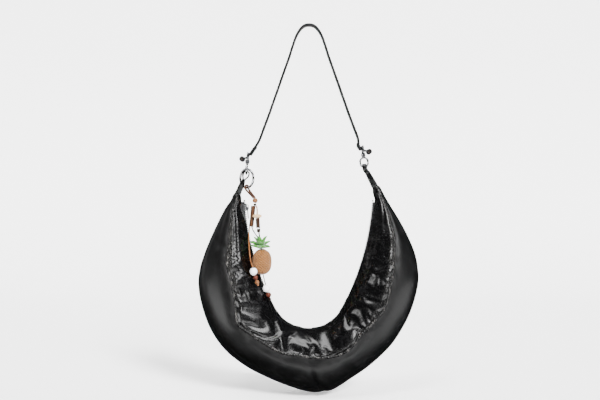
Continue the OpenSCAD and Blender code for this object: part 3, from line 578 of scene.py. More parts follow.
# Lining: a loose bag of plain woven cream cotton. It follows the leather a little way inside it,
# and is sewn in along the zip.
cut = Sections(np.linspace(0, last_row, 120))
inset, lining_thickness = leather + 3.0, 0.5
start = cut.zip_angle(inset)
points, _, _ = cut.skin(start, 2 * math.pi - start, 72, inset)
lining = sheet_object("lining", points, lining_thickness, True)
cloth = Finish("lining_cloth")
x, y, z = cloth.axes()
threads = (x * 5200).sine() * (z * 5200).sine()
dress(lining, "lining", cloth.end(
    cloth.blend(cloth.noise(60.0), (0.42, 0.37, 0.29), (0.55, 0.5, 0.41)), 0.85,
    cloth.bump(threads, 0.0002), sheen=0.2))

# Piping along the two seams: a narrow strip of the same leather folded over a filler cord. The
# stitches pull it in every few millimetres. Pale patches are painted on it as a highlight along
# its ridge, which makes it the palest part of the bag.
def directions(path):
    """The unit direction of a path at each of its points."""
    go = np.gradient(path, axis=0)
    return go / np.linalg.norm(go, axis=1, keepdims=True)


def tube_parts(path, size, sides=10, closed=False):
    """A tube along a path in metres. Its size is in millimetres, and may differ along it."""
    count = len(path)
    radius = np.broadcast_to(np.asarray(size, float) / 2 * mm, (count,))
    along = directions(np.concatenate([path[-1:], path, path[:1]]))[1:-1] if closed else directions(path)
    side = np.zeros_like(path)
    axis = np.array([0, 1, 0]) if abs(along[0][1]) < 0.9 else np.array([1, 0, 0])
    side[0] = np.cross(along[0], axis)
    side[0] /= np.linalg.norm(side[0])
    for k in range(1, count):
        moved = side[k - 1] - along[k] * np.dot(side[k - 1], along[k])
        side[k] = moved / np.linalg.norm(moved)
    other = np.cross(along, side)
    angle = np.linspace(0, 2 * math.pi, sides, endpoint=False)
    points = path[:, None] + radius[:, None, None] * (
        np.cos(angle)[None, :, None] * side[:, None] + np.sin(angle)[None, :, None] * other[:, None])
    faces = grid_faces(count, sides, wrap=True)
    if closed:
        last = (count - 1) * sides
        faces += [(last + k, last + (k + 1) % sides, (k + 1) % sides, k) for k in range(sides)]
    else:
        faces += [tuple(reversed(range(sides))), tuple(range((count - 1) * sides, count * sides))]
    return ([tuple(p) for p in points.reshape(-1, 3)], faces)


def joined(name, parts):
    """One mesh from several lists of points and faces."""
    points, faces = [], []
    for more_points, more_faces in parts:
        start = len(points)
        points.extend(more_points)
        faces.extend([tuple(start + k for k in f) for f in more_faces])
    return new_mesh(name, points, faces)


piping = Finish("piping_leather")
rub_and_glint = piping.noise(180.0, 5.0, 0.7, distortion=1.0)
flecks = piping.cells(620.0, "F1")
# The pale patches in the colour are a painted highlight. The same noise also varies the roughness and bumps.
black_piping = piping.end(
    piping.blend(rub_and_glint.ramp(0.5, 0.8) * 0.6, (0.002, 0.002, 0.002), (0.16, 0.15, 0.14)),
    0.16 + rub_and_glint * 0.16,
    piping.bump(rub_and_glint + flecks * 0.6, 0.0006), coat=0.5, coat_roughness=0.12)
for name, side in (("front_welt", 1), ("back_welt", -1)):
    steps = 900
    cut = Sections(np.linspace(0.02, last_row - 0.02, steps))
    angle = cut.seam_angle if side > 0 else 2 * math.pi - cut.seam_angle
    path = cut.points(angle[:, None], -0.7)[:, 0]
    length = length_along(path)
    rng = np.random.default_rng(5 + side)
    wobble = curve_at(rng.uniform(-1, 1, (160, 3)), np.linspace(0, 159, steps)) * 0.35 * mm
    pull = 0.86 + 0.14 * np.abs(np.sin(length / (4.2 * mm) * math.pi))
    bulge = 1 + 0.16 * curve_at(rng.uniform(-1, 1, 240), np.linspace(0, 239, steps))
    size = np.minimum(4.4, 2.4 + cut.depth / 10) * pull * bulge
    welt = new_object(name, joined(name, [tube_parts(path + wobble, size, 14)]), "bag")
    dress(welt, name, black_piping)

# Zip: two woven tapes sewn to the panels' edges, which carry the rows of moulded teeth. Teeth,
# stops, slider and pull keep their exact CAD shapes and get a worn dark plating.
horn_radius, throat_radius, throat_angle = 399.8, 58.0, 28.007
zip_middle, throat_centre = -0.7, -402.3
zip_start, zip_end = 3.6, 176.4


def zip_point(heading):
    """A point on the zip's line, in millimetres, at a heading in degrees."""
    shift, turn, a = horn_radius - throat_radius, np.radians(throat_angle), np.radians(heading)
    left, right = heading <= throat_angle, heading >= 180 - throat_angle
    radius = np.where(left | right, horn_radius, throat_radius)
    x = zip_middle + shift * np.cos(turn) * (left * 1.0 - right)
    z = throat_centre + shift * np.sin(turn) * (left | right)
    return np.stack([x - radius * np.cos(a), z - radius * np.sin(a)], axis=-1)


tape = Finish("zip_tape")
x, y, z = tape.axes()
twill = (y * 9000 + (x + z) * 4000).sine()
tape_cloth = tape.end(tape.blend(tape.noise(400.0), (0.004, 0.004, 0.0045), (0.012, 0.012, 0.013)),
                      0.8, tape.bump(twill, 0.00015), sheen=0.3)
headings = np.concatenate([np.linspace(zip_start, throat_angle, 90),
                           np.linspace(throat_angle, 180 - throat_angle, 150)[1:],
                           np.linspace(180 - throat_angle, zip_end, 90)[1:]])
line = zip_point(headings)
inward = np.stack([np.cos(np.radians(headings)), np.sin(np.radians(headings))], axis=1)
tape_gap, tape_thickness, tape_sag = 2.9, 0.6, 0.5
for name, side in (("front_zip_tape", -1), ("back_zip_tape", 1)):
    edge = hems[side][np.argmin(np.linalg.norm(
        hems[side][None, :, [0, 2]] / mm - line[:, None], axis=2), axis=1)]
    first = np.stack([line[:, 0], np.full(len(line), side * tape_gap), line[:, 1]], axis=1) * mm
    share = np.linspace(0, 1, 9)[None, :, None]
    points = first[:, None] * (1 - share) + edge[:, None] * share
    points[:, :, [0, 2]] -= inward[:, None] * (tape_sag * mm * np.sin(share * math.pi))
    dress(sheet_object(name, points, tape_thickness, side > 0), name, tape_cloth)


def plating(name, tint, dark, rough):
    """Plated metal with fine polishing lines, small scratches and a duller film in places."""
    finish = Finish(name)
    film = finish.noise(160.0, 3.0)
    scratch = finish.noise(900.0, 2.0, 0.4, distortion=3.0).ramp(0.6, 0.75)
    colour = finish.blend(film.ramp(0.35, 0.75) * 0.5, tint, dark)
    return finish.end(colour, rough + film * 0.14 + scratch * 0.12,
                      finish.bump(film * 0.6 + scratch * 0.5, 0.00006), metallic=1.0)


dark_metal = plating("zip_metal", (0.24, 0.24, 0.25), (0.07, 0.07, 0.075), 0.28)
silver = plating("silver_metal", (0.78, 0.78, 0.8), (0.42, 0.42, 0.44), 0.14)


def keep_cad(names, material, edge):
    """Keeps exact CAD nodes, and gives them a finish and a small soft edge."""
    for name in names:
        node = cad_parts[name]
        node.data.materials.clear()
        node.data.materials.append(material)
        if edge:
            soft = node.modifiers.new("edge", "BEVEL")
            soft.width = edge * mm
            soft.segments = 2
            soft.limit_method = "ANGLE"
            soft.angle_limit = math.radians(40)
            node.data.polygons.foreach_set("use_smooth", [True] * len(node.data.polygons))


keep_cad(["front_zip_teeth", "back_zip_teeth"], dark_metal, 0.35)
keep_cad(["zip_stops", "zip_slider", "zip_pull"], dark_metal, 0.25)

# Strap: one long strip of leather with a plain lining glued inside it and a row of stitches near
# each edge. Each end goes through a clasp's eye and is rolled round a small wooden dowel, and
# the tail is turned back and sewn down.
strap_half = [
    (0, 0), (5, -0.7), (9.6, -3.5), (14, -8.8), (18.6, -17.4), (22.1, -27.1), (25.2, -36.7), (28.1, -46.2),
    (34.4, -64), (40.7, -81.9), (47, -99.9), (53.3, -117.8), (59.6, -135.8), (66.4, -153.9), (72.7, -171)]
strap_points = np.array([
    (-101.1, -203.6), (-92.2, -200.3), (-83.2, -188.1), (-77.3, -180.1),
    *[(-x, z) for x, z in reversed(strap_half[1:])], *strap_half,
    (74.3, -182.8), (80.6, -189.8), (90.9, -192.4)])
strap_last = len(strap_points) - 1
strap_width, strap_leather, strap_backing = 15.0, 2.2, 0.8
roll_places = ((-101.44, -202.09), (91.02, -190.9))
roll_size, dowel_size = 8.4, 2.8


def left_of(along):
    """The direction a quarter turn to the left of each direction in a plane."""
    return np.stack([-along[:, 1], along[:, 0]], axis=1)


def band_parts(u, low, high, width):
    """A flat band along the strap line between two heights over it, with rounded long edges."""
    line = curve_at(strap_points, u)
    normal = left_of(directions(line))
    thick, half, soft = high - low, width / 2, min(0.45, (high - low) * 0.4)
    outline = []
    for y_sign, h_sign, start in ((1, 1, 0), (-1, 1, 90), (-1, -1, 180), (1, -1, 270)):
        for a in (0, 30, 60, 90):
            turn = math.radians(start + a)
            outline.append((y_sign * (half - soft) + soft * math.cos(turn),
                            low + thick / 2 + h_sign * (thick / 2 - soft) + soft * math.sin(turn)))
    outline = np.array(outline)
    points = np.zeros((len(u), len(outline), 3))
    points[:, :, 1] = outline[:, 0]
    for axis, k in ((0, 0), (2, 1)):
        points[:, :, axis] = line[:, k][:, None] + normal[:, k][:, None] * outline[:, 1]
    return ([tuple(p) for p in points.reshape(-1, 3) * mm],
            grid_faces(len(u), len(outline), wrap=True, ends=True))


def turned_parts(profile, place, axis, side, other, steps):
    """A ring that a profile of (radius, height) points makes when it turns round an axis."""
    place, axis, side, other = [np.array(v, float) for v in (place, axis, side, other)]
    points = [tuple((place + axis * h + (side * math.cos(a) + other * math.sin(a)) * r) * mm)
              for a in circle(steps) for r, h in profile]
    count = len(profile)
    faces = [(k * count + c, (k + 1) % steps * count + c, (k + 1) % steps * count + (c + 1) % count,
              k * count + (c + 1) % count) for k in range(steps) for c in range(count)]
    return (points, faces)


def roll_parts(place, inner, outer, width):
    """A strap end rolled into a short round sleeve, with softened edges."""
    soft, half = 0.5, width / 2
    profile = [(inner, -half + 0.2), (outer - soft, -half), (outer, -half + soft), (outer + 0.12, 0),
               (outer, half - soft), (outer - soft, half), (inner, half - 0.2)]
    return turned_parts(profile, (place[0], 0, place[1]), (0, 1, 0), (1, 0, 0), (0, 0, 1), 40)


u = np.linspace(0, strap_last, 420)
parts = [band_parts(u, strap_backing, strap_backing + strap_leather, strap_width)]
for tail_start, tail_end in ((1.35, 2.55), (strap_last - 2.45, strap_last - 1.25)):
    parts.append(band_parts(np.linspace(tail_start, tail_end, 26),
                            strap_backing - strap_leather, strap_backing + 0.1, strap_width - 0.3))
for place in roll_places:
    parts.append(roll_parts(place, dowel_size / 2 + 0.05, roll_size / 2, strap_width))
strap = new_object("strap", joined("strap", parts), "strap")
strap_finish = Finish("strap_leather")
wear = strap_finish.noise(120.0, 4.0, 0.6)
pores = strap_finish.cells(1100.0)
dress(strap, "strap", strap_finish.end(
    strap_finish.blend(wear.ramp(0.5, 0.8) * 0.5, (0.002, 0.002, 0.0022), (0.01, 0.01, 0.0105)),
    0.34 + wear * 0.15, strap_finish.bump(pores * 0.6 + wear, 0.00018), coat=0.2, coat_roughness=0.3))

u = np.linspace(2.6, strap_last - 2.5, 380)
backing = new_object("strap_lining", joined("strap_lining", [
    band_parts(u, 0.0, strap_backing - 0.05, strap_width - 0.8)]), "strap")
suede = Finish("strap_lining")
nap = suede.noise(900.0, 4.0, 0.7)
dress(backing, "strap_lining", suede.end(
    suede.blend(suede.noise(60.0), (0.005, 0.005, 0.0055), (0.014, 0.014, 0.015)), 0.8,
    suede.bump(nap, 0.0002), sheen=0.05))

dowels = Finish("dowel_wood")
x, y, z = dowels.axes()
rings = ((x * x + z * z).power(0.5) * 9000 + dowels.noise(200.0) * 6).sine()
keep_cad(["strap_dowels"], dowels.end(
    dowels.blend(rings.ramp(-1, 1), (0.006, 0.003, 0.002), (0.022, 0.01, 0.005)), 0.3,
    dowels.bump(rings, 0.0001)), 0.25)

# Stitches: thick waxed black thread. One short slanted stitch every 4.4 mm runs along both edges,
# on the outer side and, away from the two ends, on the lining too.
stitch_step, stitch_length, stitch_size, stitch_margin = 4.4, 3.1, 0.45, 1.9
thread = Finish("thread")
twist = thread.noise(1500.0, 2.0)
x, y, z = thread.axes()
thread_material = thread.end(
    thread.blend(twist, (0.002, 0.002, 0.0021), (0.006, 0.006, 0.0063)), 0.7,
    thread.bump(((x + y + z) * 12000).sine() * 0.5 + twist, 0.0001))


def stitch_parts(centre, along, up):
    """One stitch: a small rounded bar, highest at its middle."""
    side = np.cross(along, up)
    points, sides = [], 6
    rows = ((-0.5, 0.35, -0.5), (-0.3, 0.9, 0.25), (0, 1, 0.45), (0.3, 0.9, 0.25), (0.5, 0.35, -0.5))
    for share, size, lift in rows:
        middle = centre + along * share * stitch_length + up * lift * stitch_size * 0.5
        for a in circle(sides):
            out = (side * math.cos(a) + up * math.sin(a) * 0.8) * size * stitch_size / 2
            points.append(tuple((middle + out) * mm))
    return (points, grid_faces(len(rows), sides, wrap=True, ends=True))


line = curve_at(strap_points, np.linspace(1.5, strap_last - 1.4, 2400))
length = length_along(line)
parts = []
place, tail_length = 3.0, 24
while place < length[-1] - 3:
    i = int(np.searchsorted(length, place))
    ahead = line[min(i + 4, len(line) - 1)] - line[max(i - 4, 0)]
    ahead /= np.linalg.norm(ahead)
    up = np.array([-ahead[1], 0, ahead[0]])
    for y_sign in (-1, 1):
        along = np.array([ahead[0], 0.12 * y_sign, ahead[1]])
        along /= np.linalg.norm(along)
        centre = np.array([line[i][0], y_sign * (strap_width / 2 - stitch_margin), line[i][1]])
        parts.append(stitch_parts(centre + up * (strap_backing + strap_leather - 0.12), along, up))
        if tail_length < place < length[-1] - tail_length:
            parts.append(stitch_parts(centre + up * 0.12, along, -up))
    place += stitch_step
stitches = new_object("strap_stitches", joined("strap_stitches", parts), "strap")
stitches.data.materials.append(thread_material)

# Clasps: cast silver-plated swivel hooks, one at each end of the strap. Each turns in the eye
# over it, and a sprung gate on a pin closes it. All of them keep their exact CAD shapes.
for side_name in ("left", "right"):
    keep_cad([side_name + "_eye", side_name + "_hook", side_name + "_gate_pin"], silver, 0.15)
    keep_cad([side_name + "_gate"], silver, 0)

# Neck tabs: a strip of leather looped over each hook and sewn together under it. At the bag a
# short leather sleeve binds it to the end of the horn. The left tab lies edge on at its hook and
# turns to face the front below it, and the right one faces the front all the way.
hook_places = {"left": (-95.22, -224.63), "right": (84.35, -214.3)}
tab_wall, tab_inner, tab_top_half, tab_straight = 2.0, 3.2, 3.15, 0.36
tab_steps, tab_sides = 72, 16
pinch_drop, pinch_span = 10.8, 8.5
twist_drop, twist_span, twist_angle = 8.0, 13.0, 68
lean_span = 9.0


def eased(share):
    """Goes smoothly from 0 to 1 as the share does."""
    share = np.clip(share, 0, 1)
    return share * share * (3 - 2 * share)


def tab_object(side_name, faces_front, tilt, low_half):
    """A looped strip: its middle line up one side, round the hook and down the other."""
    loop, low = np.array(hook_places[side_name]), np.array(necks[side_name])
    down = low - loop
    length = np.linalg.norm(down)
    lean = math.atan2(-down[0], -down[1])
    middle = []
    for share in [k / tab_steps for k in range(tab_steps + 1)]:
        if share < tab_straight or share > 1 - tab_straight:
            side = -1 if share < tab_straight else 1
            height = -length * (1 - min(share, 1 - share) / tab_straight)
            bulge = eased((height + pinch_drop) / pinch_span)
            middle.append((side * (tab_wall / 2 + 0.02 + bulge * tab_inner), height))
        else:
            a, radius = math.pi * (share - tab_straight) / (1 - 2 * tab_straight), tab_inner + tab_wall / 2
            middle.append((-radius * math.cos(a), radius * math.sin(a)))
    middle = np.array(middle)
    normal = left_of(directions(middle))
    turn = np.array(circle(tab_sides))
    across, thick = np.clip(np.cos(turn) * 1.25, -1, 1), np.clip(np.sin(turn) * 1.9, -1, 1)
    half = tab_top_half + (low_half - tab_top_half) * np.clip(-middle[:, 1] / length, 0, 1)
    flat = middle[:, None] + normal[:, None] * thick[:, None] * tab_wall / 2
    side, height, wide = flat[:, :, 0].ravel(), flat[:, :, 1].ravel(), np.outer(half, across).ravel()
    if faces_front:
        share = np.clip(-height / lean_span, 0, 1)
        x, y, angle = wide, side, -math.radians(tilt) * (1 - share) + lean * share
    else:
        twist = eased((-height - twist_drop) / twist_span) * math.radians(twist_angle)
        x, y, angle = (side * np.cos(twist) + wide * np.sin(twist),
                       wide * np.cos(twist) - side * np.sin(twist), lean)
    points = np.stack([x * np.cos(angle) + height * np.sin(angle) + loop[0], y,
                       height * np.cos(angle) - x * np.sin(angle) + loop[1]], axis=1) * mm
    name = side_name + "_tab"
    faces = grid_faces(tab_steps + 1, tab_sides, wrap=True, ends=True)
    dress(new_object(name, new_mesh(name, points, faces), "bag"), name, black_leather)


tab_object("left", False, 0, 4.4)
tab_object("right", True, 6, 5.0)
binding_radius, binding_length = 4.95, 4.5


def binding_object(side_name):
    """A short sleeve of thin leather, gathered and a little pinched, wound twice round the neck."""
    neck, loop = np.array(necks[side_name]), np.array(hook_places[side_name])
    down = (neck - loop) / np.linalg.norm(neck - loop)
    axis, side, other = np.array([down[0], 0, down[1]]), np.array([-down[1], 0, down[0]]), np.array([0, 1, 0])
    rows, sides = 15, 48
    points = []
    ripple = curve_at(np.random.default_rng(3).uniform(-1, 1, 15), np.linspace(0, 14, sides + 1))[:sides]
    for t in [r / (rows - 1) for r in range(rows)]:
        profile = binding_radius * (1 - 0.06 * (2 * t - 1) ** 4) - 0.18 * bell(t, 0.52, 0.05)
        for a, rippled in zip(circle(sides), ripple):
            radius = profile + 0.14 * rippled * (0.5 + t)
            centre = np.array([neck[0], 0, neck[1]]) + axis * (0.05 + binding_length * t)
            points.append(tuple((centre + radius * (side * math.cos(a) + other * math.sin(a))) * mm))
    name = side_name + "_neck_binding"
    made = new_object(name, new_mesh(name, points, grid_faces(rows, sides, wrap=True, ends=True)), "bag")
    dress(made, name, black_leather)


binding_object("left")
binding_object("right")

# Charm ring and loop: a closed ring of silver-plated wire hangs in the left clasp. A round
# leather cord goes up from the first wooden bead, over the ring and back down into the bead,
# and a knot under the bead holds both its ends.
keep_cad(["charm_ring"], silver, 0)


def route(points, steps):
    """The smooth line of a cord, in metres, through places in millimetres."""
    return curve_at(points, np.linspace(0, len(points) - 1, steps)) * mm


def bead_parts(place, size, axis, hole=0.16, length=1.0):
    """A turned bead with a hole through it. Its ends are a little flattened round the hole."""
    axis = Vector(axis).normalized()
    side = axis.orthogonal().normalized()
    radius = size / 2
    turns = np.linspace(-math.pi / 2, math.pi / 2, 15)[1:-1]
    profile = [(radius * max(math.cos(a), hole * 1.25), radius * length * math.sin(a)) for a in turns]
    ends = profile[0][1] * 0.98
    profile = [(radius * hole, ends)] + profile + [(radius * hole, -ends)]
    return turned_parts(profile, place, axis, side, axis.cross(side), 32)


def knot_parts(place, size, turn=0.0):
    """A small overhand knot, pulled tight."""
    a = np.linspace(0, 2 * math.pi, 60, endpoint=False)
    path = np.stack([np.sin(a) + 2 * np.sin(2 * a), -1.7 * np.sin(3 * a),
                     np.cos(a) - 2 * np.cos(2 * a)], axis=1)
    line = np.array(place) + path @ np.array(Matrix.Rotation(turn, 3, "Z")) * size * 0.118
    return tube_parts(line * mm, size * 0.34, 8, closed=True)


def strand_parts(path, reach, size, turns, start, cross=0.0):
    """One strand that winds round a path. With cross it passes over and under its neighbours."""
    go = directions(path)
    side = np.cross(go, [0, 1, 0])
    side /= np.linalg.norm(side, axis=1, keepdims=True)
    other = np.cross(go, side)
    a = start + 2 * math.pi * turns * np.linspace(0, 1, len(path))
    out = reach + cross * np.cos(4 * a)
    line = path + (side * np.cos(a)[:, None] + other * np.sin(a)[:, None]) * out[:, None] * mm
    return tube_parts(line, size, 7)


finishes = {}


def charm_piece(name, parts, body, finish):
    """One piece of the charm. Its finish is one of those made so far, and names its slot too."""
    made = new_object(name, joined(name, parts), body)
    dress(made, name, finishes[finish])
    return made


def lace_leather(name, dark, pale, rough=0.55):
    """Thin round leather cord: fine grain, with darker and paler stretches."""
    finish = Finish(name)
    mottle = finish.noise(220.0, 4.0, 0.6)
    grain = finish.noise(1600.0, 2.0)
    finishes[name] = finish.end(
        finish.blend(mottle.ramp(0.3, 0.7), dark, pale), rough + mottle * 0.15,
        finish.bump(grain + mottle, 0.00015))


def turned_bead(name, dark, pale, rough, rings):
    """Turned wood or clay under clear lacquer, with the lathe's faint rings where it has them."""
    finish = Finish(name)
    x, y, z = finish.axes()
    veins = ((z * 2600 + finish.noise(240.0, 3.0) * 9).sine()).ramp(-1, 1)
    pits = finish.noise(900.0, 3.0, 0.7)
    finishes[name] = finish.end(
        finish.blend(veins * (0.35 + rings) + pits * 0.3, dark, pale), rough + pits * 0.15,
        finish.bump(veins * rings + pits, 0.00012), coat=0.4, coat_roughness=0.15)


lace_leather("brown_cord", (0.014, 0.005, 0.0025), (0.065, 0.024, 0.01))
lace_leather("dark_knot", (0.006, 0.003, 0.002), (0.025, 0.012, 0.007))
turned_bead("tan_wood", (0.06, 0.02, 0.006), (0.2, 0.08, 0.026), 0.35, 0.4)
loop_turn, loop_radius, loop_size = math.radians(41), 3.61, 3.0
loop_middle = np.array((-94.6, 0, -245.4))
loop_side, loop_up = np.array((math.sin(loop_turn), math.cos(loop_turn), 0)), np.array((0, 0, 1))
over = [loop_middle + loop_radius * (math.cos(a) * loop_side + math.sin(a) * loop_up)
        for a in np.radians((195, 160, 125, 90, 55, 20, -15))]
loop_line = route([(-83.8, -8.8, -261.2), (-86.6, -8.2, -258), (-90.6, -6.7, -253.6),
                   (-94.6, -4.7, -249.6), *over, (-90.4, 1.4, -249.8), (-87, -1.5, -254.2),
                   (-83.9, -4, -258), (-81.6, -5.9, -260.9)], 90)
loop_cord = charm_piece("charm_loop_cord", [tube_parts(loop_line, loop_size, 12)], "charm", "brown_cord")
charm_piece("top_bead", [bead_parts((-81.5, -7.4, -265), 8, (0.1, 0, 1), hole=0.24, length=0.96)],
            "charm", "tan_wood")
charm_piece("bead_knot", [knot_parts((-81.7, -7.8, -271.4), 4.8)], "charm", "dark_knot")

# Braid: eight thin leather cords, dark and tan, plaited round. Four wind one way and four the
# other, and each goes over and under those that it meets.
braid_line = route([(-84.2, -8.2, -273.6), (-85, -8.8, -283), (-86, -9.4, -293), (-87.2, -10.2, -303.5)], 140)
parts, shade = [], []
for k in range(4):
    for way in (1, -1):
        parts.append(strand_parts(
            braid_line, reach=2.2, size=2.1, turns=3.0 * way,
            start=math.pi / 2 * k + (0.35 if way < 0 else 0), cross=0.42 * way))
        shade += [float(way > 0)] * len(parts[-1][0])
braid_finish = Finish("braid")
fibre = braid_finish.noise(1300.0, 3.0)
tan_share = braid_finish.attribute("shade") * 0.8 + fibre * 0.3
finishes["braid"] = braid_finish.end(
    braid_finish.blend(tan_share, (0.003, 0.0012, 0.0008), (0.08, 0.031, 0.011)),
    0.6, braid_finish.bump(fibre, 0.0002))
braid = charm_piece("braid", parts, "charm", "braid")
braid.data.attributes.new("shade", "FLOAT", "POINT").data.foreach_set("value", shade)

# Toggle: a short peach cord, laid from two strands, hangs beside the braid. It holds a turned
# bone toggle, a tube wound from dark thread and a knot.
lace_leather("peach_cord", (0.2, 0.09, 0.045), (0.36, 0.19, 0.1))
lace_leather("woven_brown", (0.01, 0.004, 0.0025), (0.04, 0.018, 0.01), 0.7)
turned_bead("cream_bead", (0.36, 0.22, 0.11), (0.6, 0.42, 0.24), 0.4, 0.2)
side_line = route([(-79.4, -9, -272.8), (-78.3, -10.8, -277.4), (-77.8, -13.6, -281.4),
                   (-77.8, -15.8, -285)], 50)
charm_piece("side_cord", [
    strand_parts(side_line, reach=0.62, size=1.3, turns=2.6, start=a) for a in (0, math.pi)],
    "charm", "peach_cord")
charm_piece("toggle_bead", [bead_parts((-77.8, -16.2, -288.3), 6, (1, 0, 0), hole=0.2, length=2.3)],
            "charm", "cream_bead")
tube_line = route([(-77.4, -15.9, -291.5), (-76.9, -15.4, -298.5), (-76.4, -14.9, -306)], 330)
charm_piece("woven_tube", [
    tube_parts(tube_line[::20], size=4.4, sides=12),
    strand_parts(tube_line, reach=2.45, size=1.45, turns=11, start=0.0)], "charm", "woven_brown")
charm_piece("tube_knot", [knot_parts((-75.8, -14.7, -309.6), 6.6, turn=0.7)], "charm", "dark_knot")

# Fruit: brown jute cord wound crosswise over a core, hung on two black cords. Sixteen
# strands wind each way round it, and each goes over one and under the next. The core is painted
# almost black, and each strand is painted darker where it dips under: painted shade between the cords.
lace_leather("black_cord", (0.003, 0.0026, 0.0025), (0.012, 0.01, 0.009), 0.4)
left_hanger = route([(-86.2, -10.2, -304.2), (-84.4, -12, -309.5), (-80.2, -14.4, -315.8),
                     (-75.6, -16.6, -321.8)], 40)
right_hanger = route([(-75.4, -14.9, -313.2), (-74.6, -15.6, -317), (-73.4, -16.8, -321.8)], 24)
charm_piece("crown_cords", [tube_parts(line, size=1.8) for line in (left_hanger, right_hanger)],
            "fruit", "black_cord")
fruit_place = np.array((-70.6, -17, -356.8))
fruit_radius, fruit_half = 14.5, 19.5


def fruit_out(share):
    """The fruit's radius at a share of its half height."""
    return fruit_radius * (1 - np.abs(share) ** 2.6) ** (1 / 2.2)


strands, twist, cord_size = 16, 1.9, 2.6
steps = np.array([math.sin(math.pi / 2 * k / 12) for k in range(-12, 13)])
core_line = np.stack([0 * steps + fruit_place[0], 0 * steps + fruit_place[1],
                      fruit_place[2] + steps * (fruit_half - 1.6)], axis=1)
core_out = np.maximum(0.3, fruit_out(steps) - 2.0)
parts = [tube_parts(core_line * mm, core_out * 2, 32)]
# The core's tone is 0, so it is painted almost black as shade in the gaps between the cords
tones_and_painted_shade = [0.0] * len(parts[0][0])
rng = np.random.default_rng(4)
share = np.sin(np.linspace(-1.45, 1.45, 120))
for k in range(strands):
    for way in (1, -1):
        heading = 2 * math.pi * k / strands + way * twist * share + 0.03 * np.sin(9 * share + k)
        over = way * np.cos(strands * twist * share)
        out = fruit_out(share) - cord_size / 2 - 0.25 + 0.45 * over
        cord = fruit_place + np.stack([out * np.cos(heading), out * np.sin(heading),
                                       share * (fruit_half - cord_size / 2)], axis=1)
        parts.append(tube_parts(cord * mm, cord_size, 7))
        # Painted shade: a strand is darker where it dips under. The random factor is its own tone.
        tones_and_painted_shade += list(np.repeat(rng.uniform(0.6, 1.0) * (0.6 + 0.4 * over), 7))
jute = Finish("wound_cord")
fibre = jute.noise(900.0, 4.0, 0.65)
patch = jute.noise(110.0, 2.0)
light = jute.attribute("tone") * 0.8 + fibre * 0.3 + patch * 0.15 - 0.12
finishes["wound_cord"] = jute.end(
    jute.blend(light, (0.01, 0.0025, 0.0005), (0.23, 0.09, 0.017)), 0.75,
    jute.bump(fibre, 0.0003), sheen=0.2)
fruit = charm_piece("fruit_body", parts, "fruit", "wound_cord")
fruit.data.attributes.new("tone", "FLOAT", "POINT").data.foreach_set("value", tones_and_painted_shade)

# Crown: thick green felt leaves with rounded tips, sewn in three rings to a short felt core. The
# lowest ring lies almost flat, and the highest stands up round the two black cords.
leaf_thickness, crown_place = 3.8, (-72.6, -17, -337.4)


def leaf_parts(place, spin, tilt, length, width):
    """A felt leaf that leans out from the crown's middle and curls down a little at its tip."""
    rows, sides = 14, 12
    points = []
    for r in range(rows):
        t = math.sin(math.pi / 2 * r / (rows - 1))
        half = width / 2 * (0.7 + 0.3 * math.sin(math.pi * t)) * math.sqrt(1 - t ** 6) + 0.05
        lean = tilt + 0.25 * t * t
        centre = Vector((1.6 + length * t * math.sin(lean), 0, length * t * math.cos(lean)))
        out = Vector((math.cos(lean), 0, -math.sin(lean)))
        for a in circle(sides):
            thick = half * leaf_thickness / width * math.sin(a) - 0.1 * abs(math.cos(a)) * half
            point = centre + Vector((0, 1, 0)) * half * math.cos(a) + out * thick
            points.append(tuple((Matrix.Rotation(spin, 3, "Z") @ point + Vector(place)) * mm))
    return (points, grid_faces(rows, sides, wrap=True, ends=True))


def over_crown(height):
    return (crown_place[0], crown_place[1], crown_place[2] + height)


rng = np.random.default_rng(8)
leaves = []
for count, tilt, length, lift, width in (
        (9, 66, 14, 1.4, 8.2), (8, 42, 17, 2.2, 7.8), (5, 17, 18.5, 3.4, 7.0)):
    for k in range(count):
        spin = 2 * math.pi * (k + 0.5) / count + rng.uniform(-0.12, 0.12)
        lean = math.radians(tilt + rng.uniform(-5, 5))
        leaves.append(leaf_parts(over_crown(lift), spin, lean, length * rng.uniform(0.93, 1.05), width))
core_line = np.array([over_crown(height) for height in (0, 0.4, 4, 12, 15.2)])
core_size = np.array((4.4, 5.6, 5.6, 4.8, 2.8))
leaves.append(tube_parts(core_line * mm, core_size, 16))
felt = Finish("green_leaf")
fuzz = felt.noise(1400.0, 4.0, 0.7)
shadow = felt.noise(160.0, 2.0)
finishes["green_leaf"] = felt.end(
    felt.blend(shadow * 0.6 + fuzz * 0.4, (0.008, 0.09, 0.001), (0.034, 0.21, 0.004)), 0.8,
    felt.bump(fuzz, 0.0003), sheen=0.4)
charm_piece("crown", leaves, "fruit", "green_leaf")

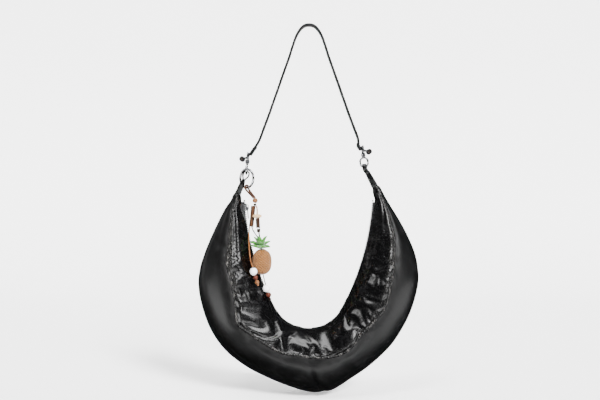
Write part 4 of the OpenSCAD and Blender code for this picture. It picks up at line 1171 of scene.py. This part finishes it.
# Under the fruit: two black cords leave it. A white stone bead and a dark red wooden bead are
# threaded on them, and a last knot holds both.
turned_bead("white_bead", (0.78, 0.78, 0.8), (0.93, 0.93, 0.94), 0.25, 0.0)
turned_bead("red_bead", (0.02, 0.004, 0.0025), (0.08, 0.016, 0.007), 0.2, 0.5)
left_cord = route([(-73, -17, -376.4), (-72.2, -17, -382), (-70.6, -17, -388.6), (-69, -17, -393.4)], 30)
right_cord = route([(-68.8, -17, -376.5), (-67.4, -17, -383), (-65.2, -17, -390.8)], 24)
charm_piece("lower_cords", [tube_parts(line, size=1.6) for line in (left_cord, right_cord)],
            "fruit", "black_cord")
hang = (0.32, 0, -1)
charm_piece("lower_white_bead", [bead_parts((-64, -17, -396.6), 11.4, hang)], "fruit", "white_bead")
charm_piece("lower_brown_bead", [bead_parts((-60.7, -17, -406.2), 8.2, hang)], "fruit", "red_bead")
charm_piece("lower_knot", [knot_parts((-58.6, -17, -412.6), 4.8, turn=1.2)], "fruit", "dark_knot")

# Lace: a thin tan leather lace hangs free beside the fruit. It runs through a white, a dark red
# and a tan bead, and the small knot at its end holds them.
lace_leather("tan_lace", (0.13, 0.045, 0.014), (0.25, 0.1, 0.035))
lace_size = 1.6
lace_line = route([(-89.2, -11.4, -304), (-90.2, -15, -314), (-90, -20, -328), (-88.6, -25.5, -343),
                   (-86.4, -29.2, -356), (-83.4, -30.7, -364.1)], 80)
lace = charm_piece("lace", [tube_parts(lace_line, lace_size)], "lace", "tan_lace")
lace_beads = [
    charm_piece(name, [bead_parts(place, size, axis)], "lace", finish)
    for name, place, size, axis, finish in (
        ("lace_white_bead", (-82.5, -30.8, -370), 11.4, (0.25, 0, -1), "white_bead"),
        ("lace_red_bead", (-79.4, -30.8, -379), 7.4, (0.3, 0, -1), "red_bead"),
        ("lace_tan_bead", (-77.2, -30.8, -385.9), 6.8, (0.3, 0, -1), "tan_wood"))]
end_knot = joined("lace_end_knot", [knot_parts((-76, -30.8, -389.9), 3.2)])
lace_end = new_object("lace_end_knot", end_knot, "lace")
lace_end.data.materials.append(finishes["tan_lace"])
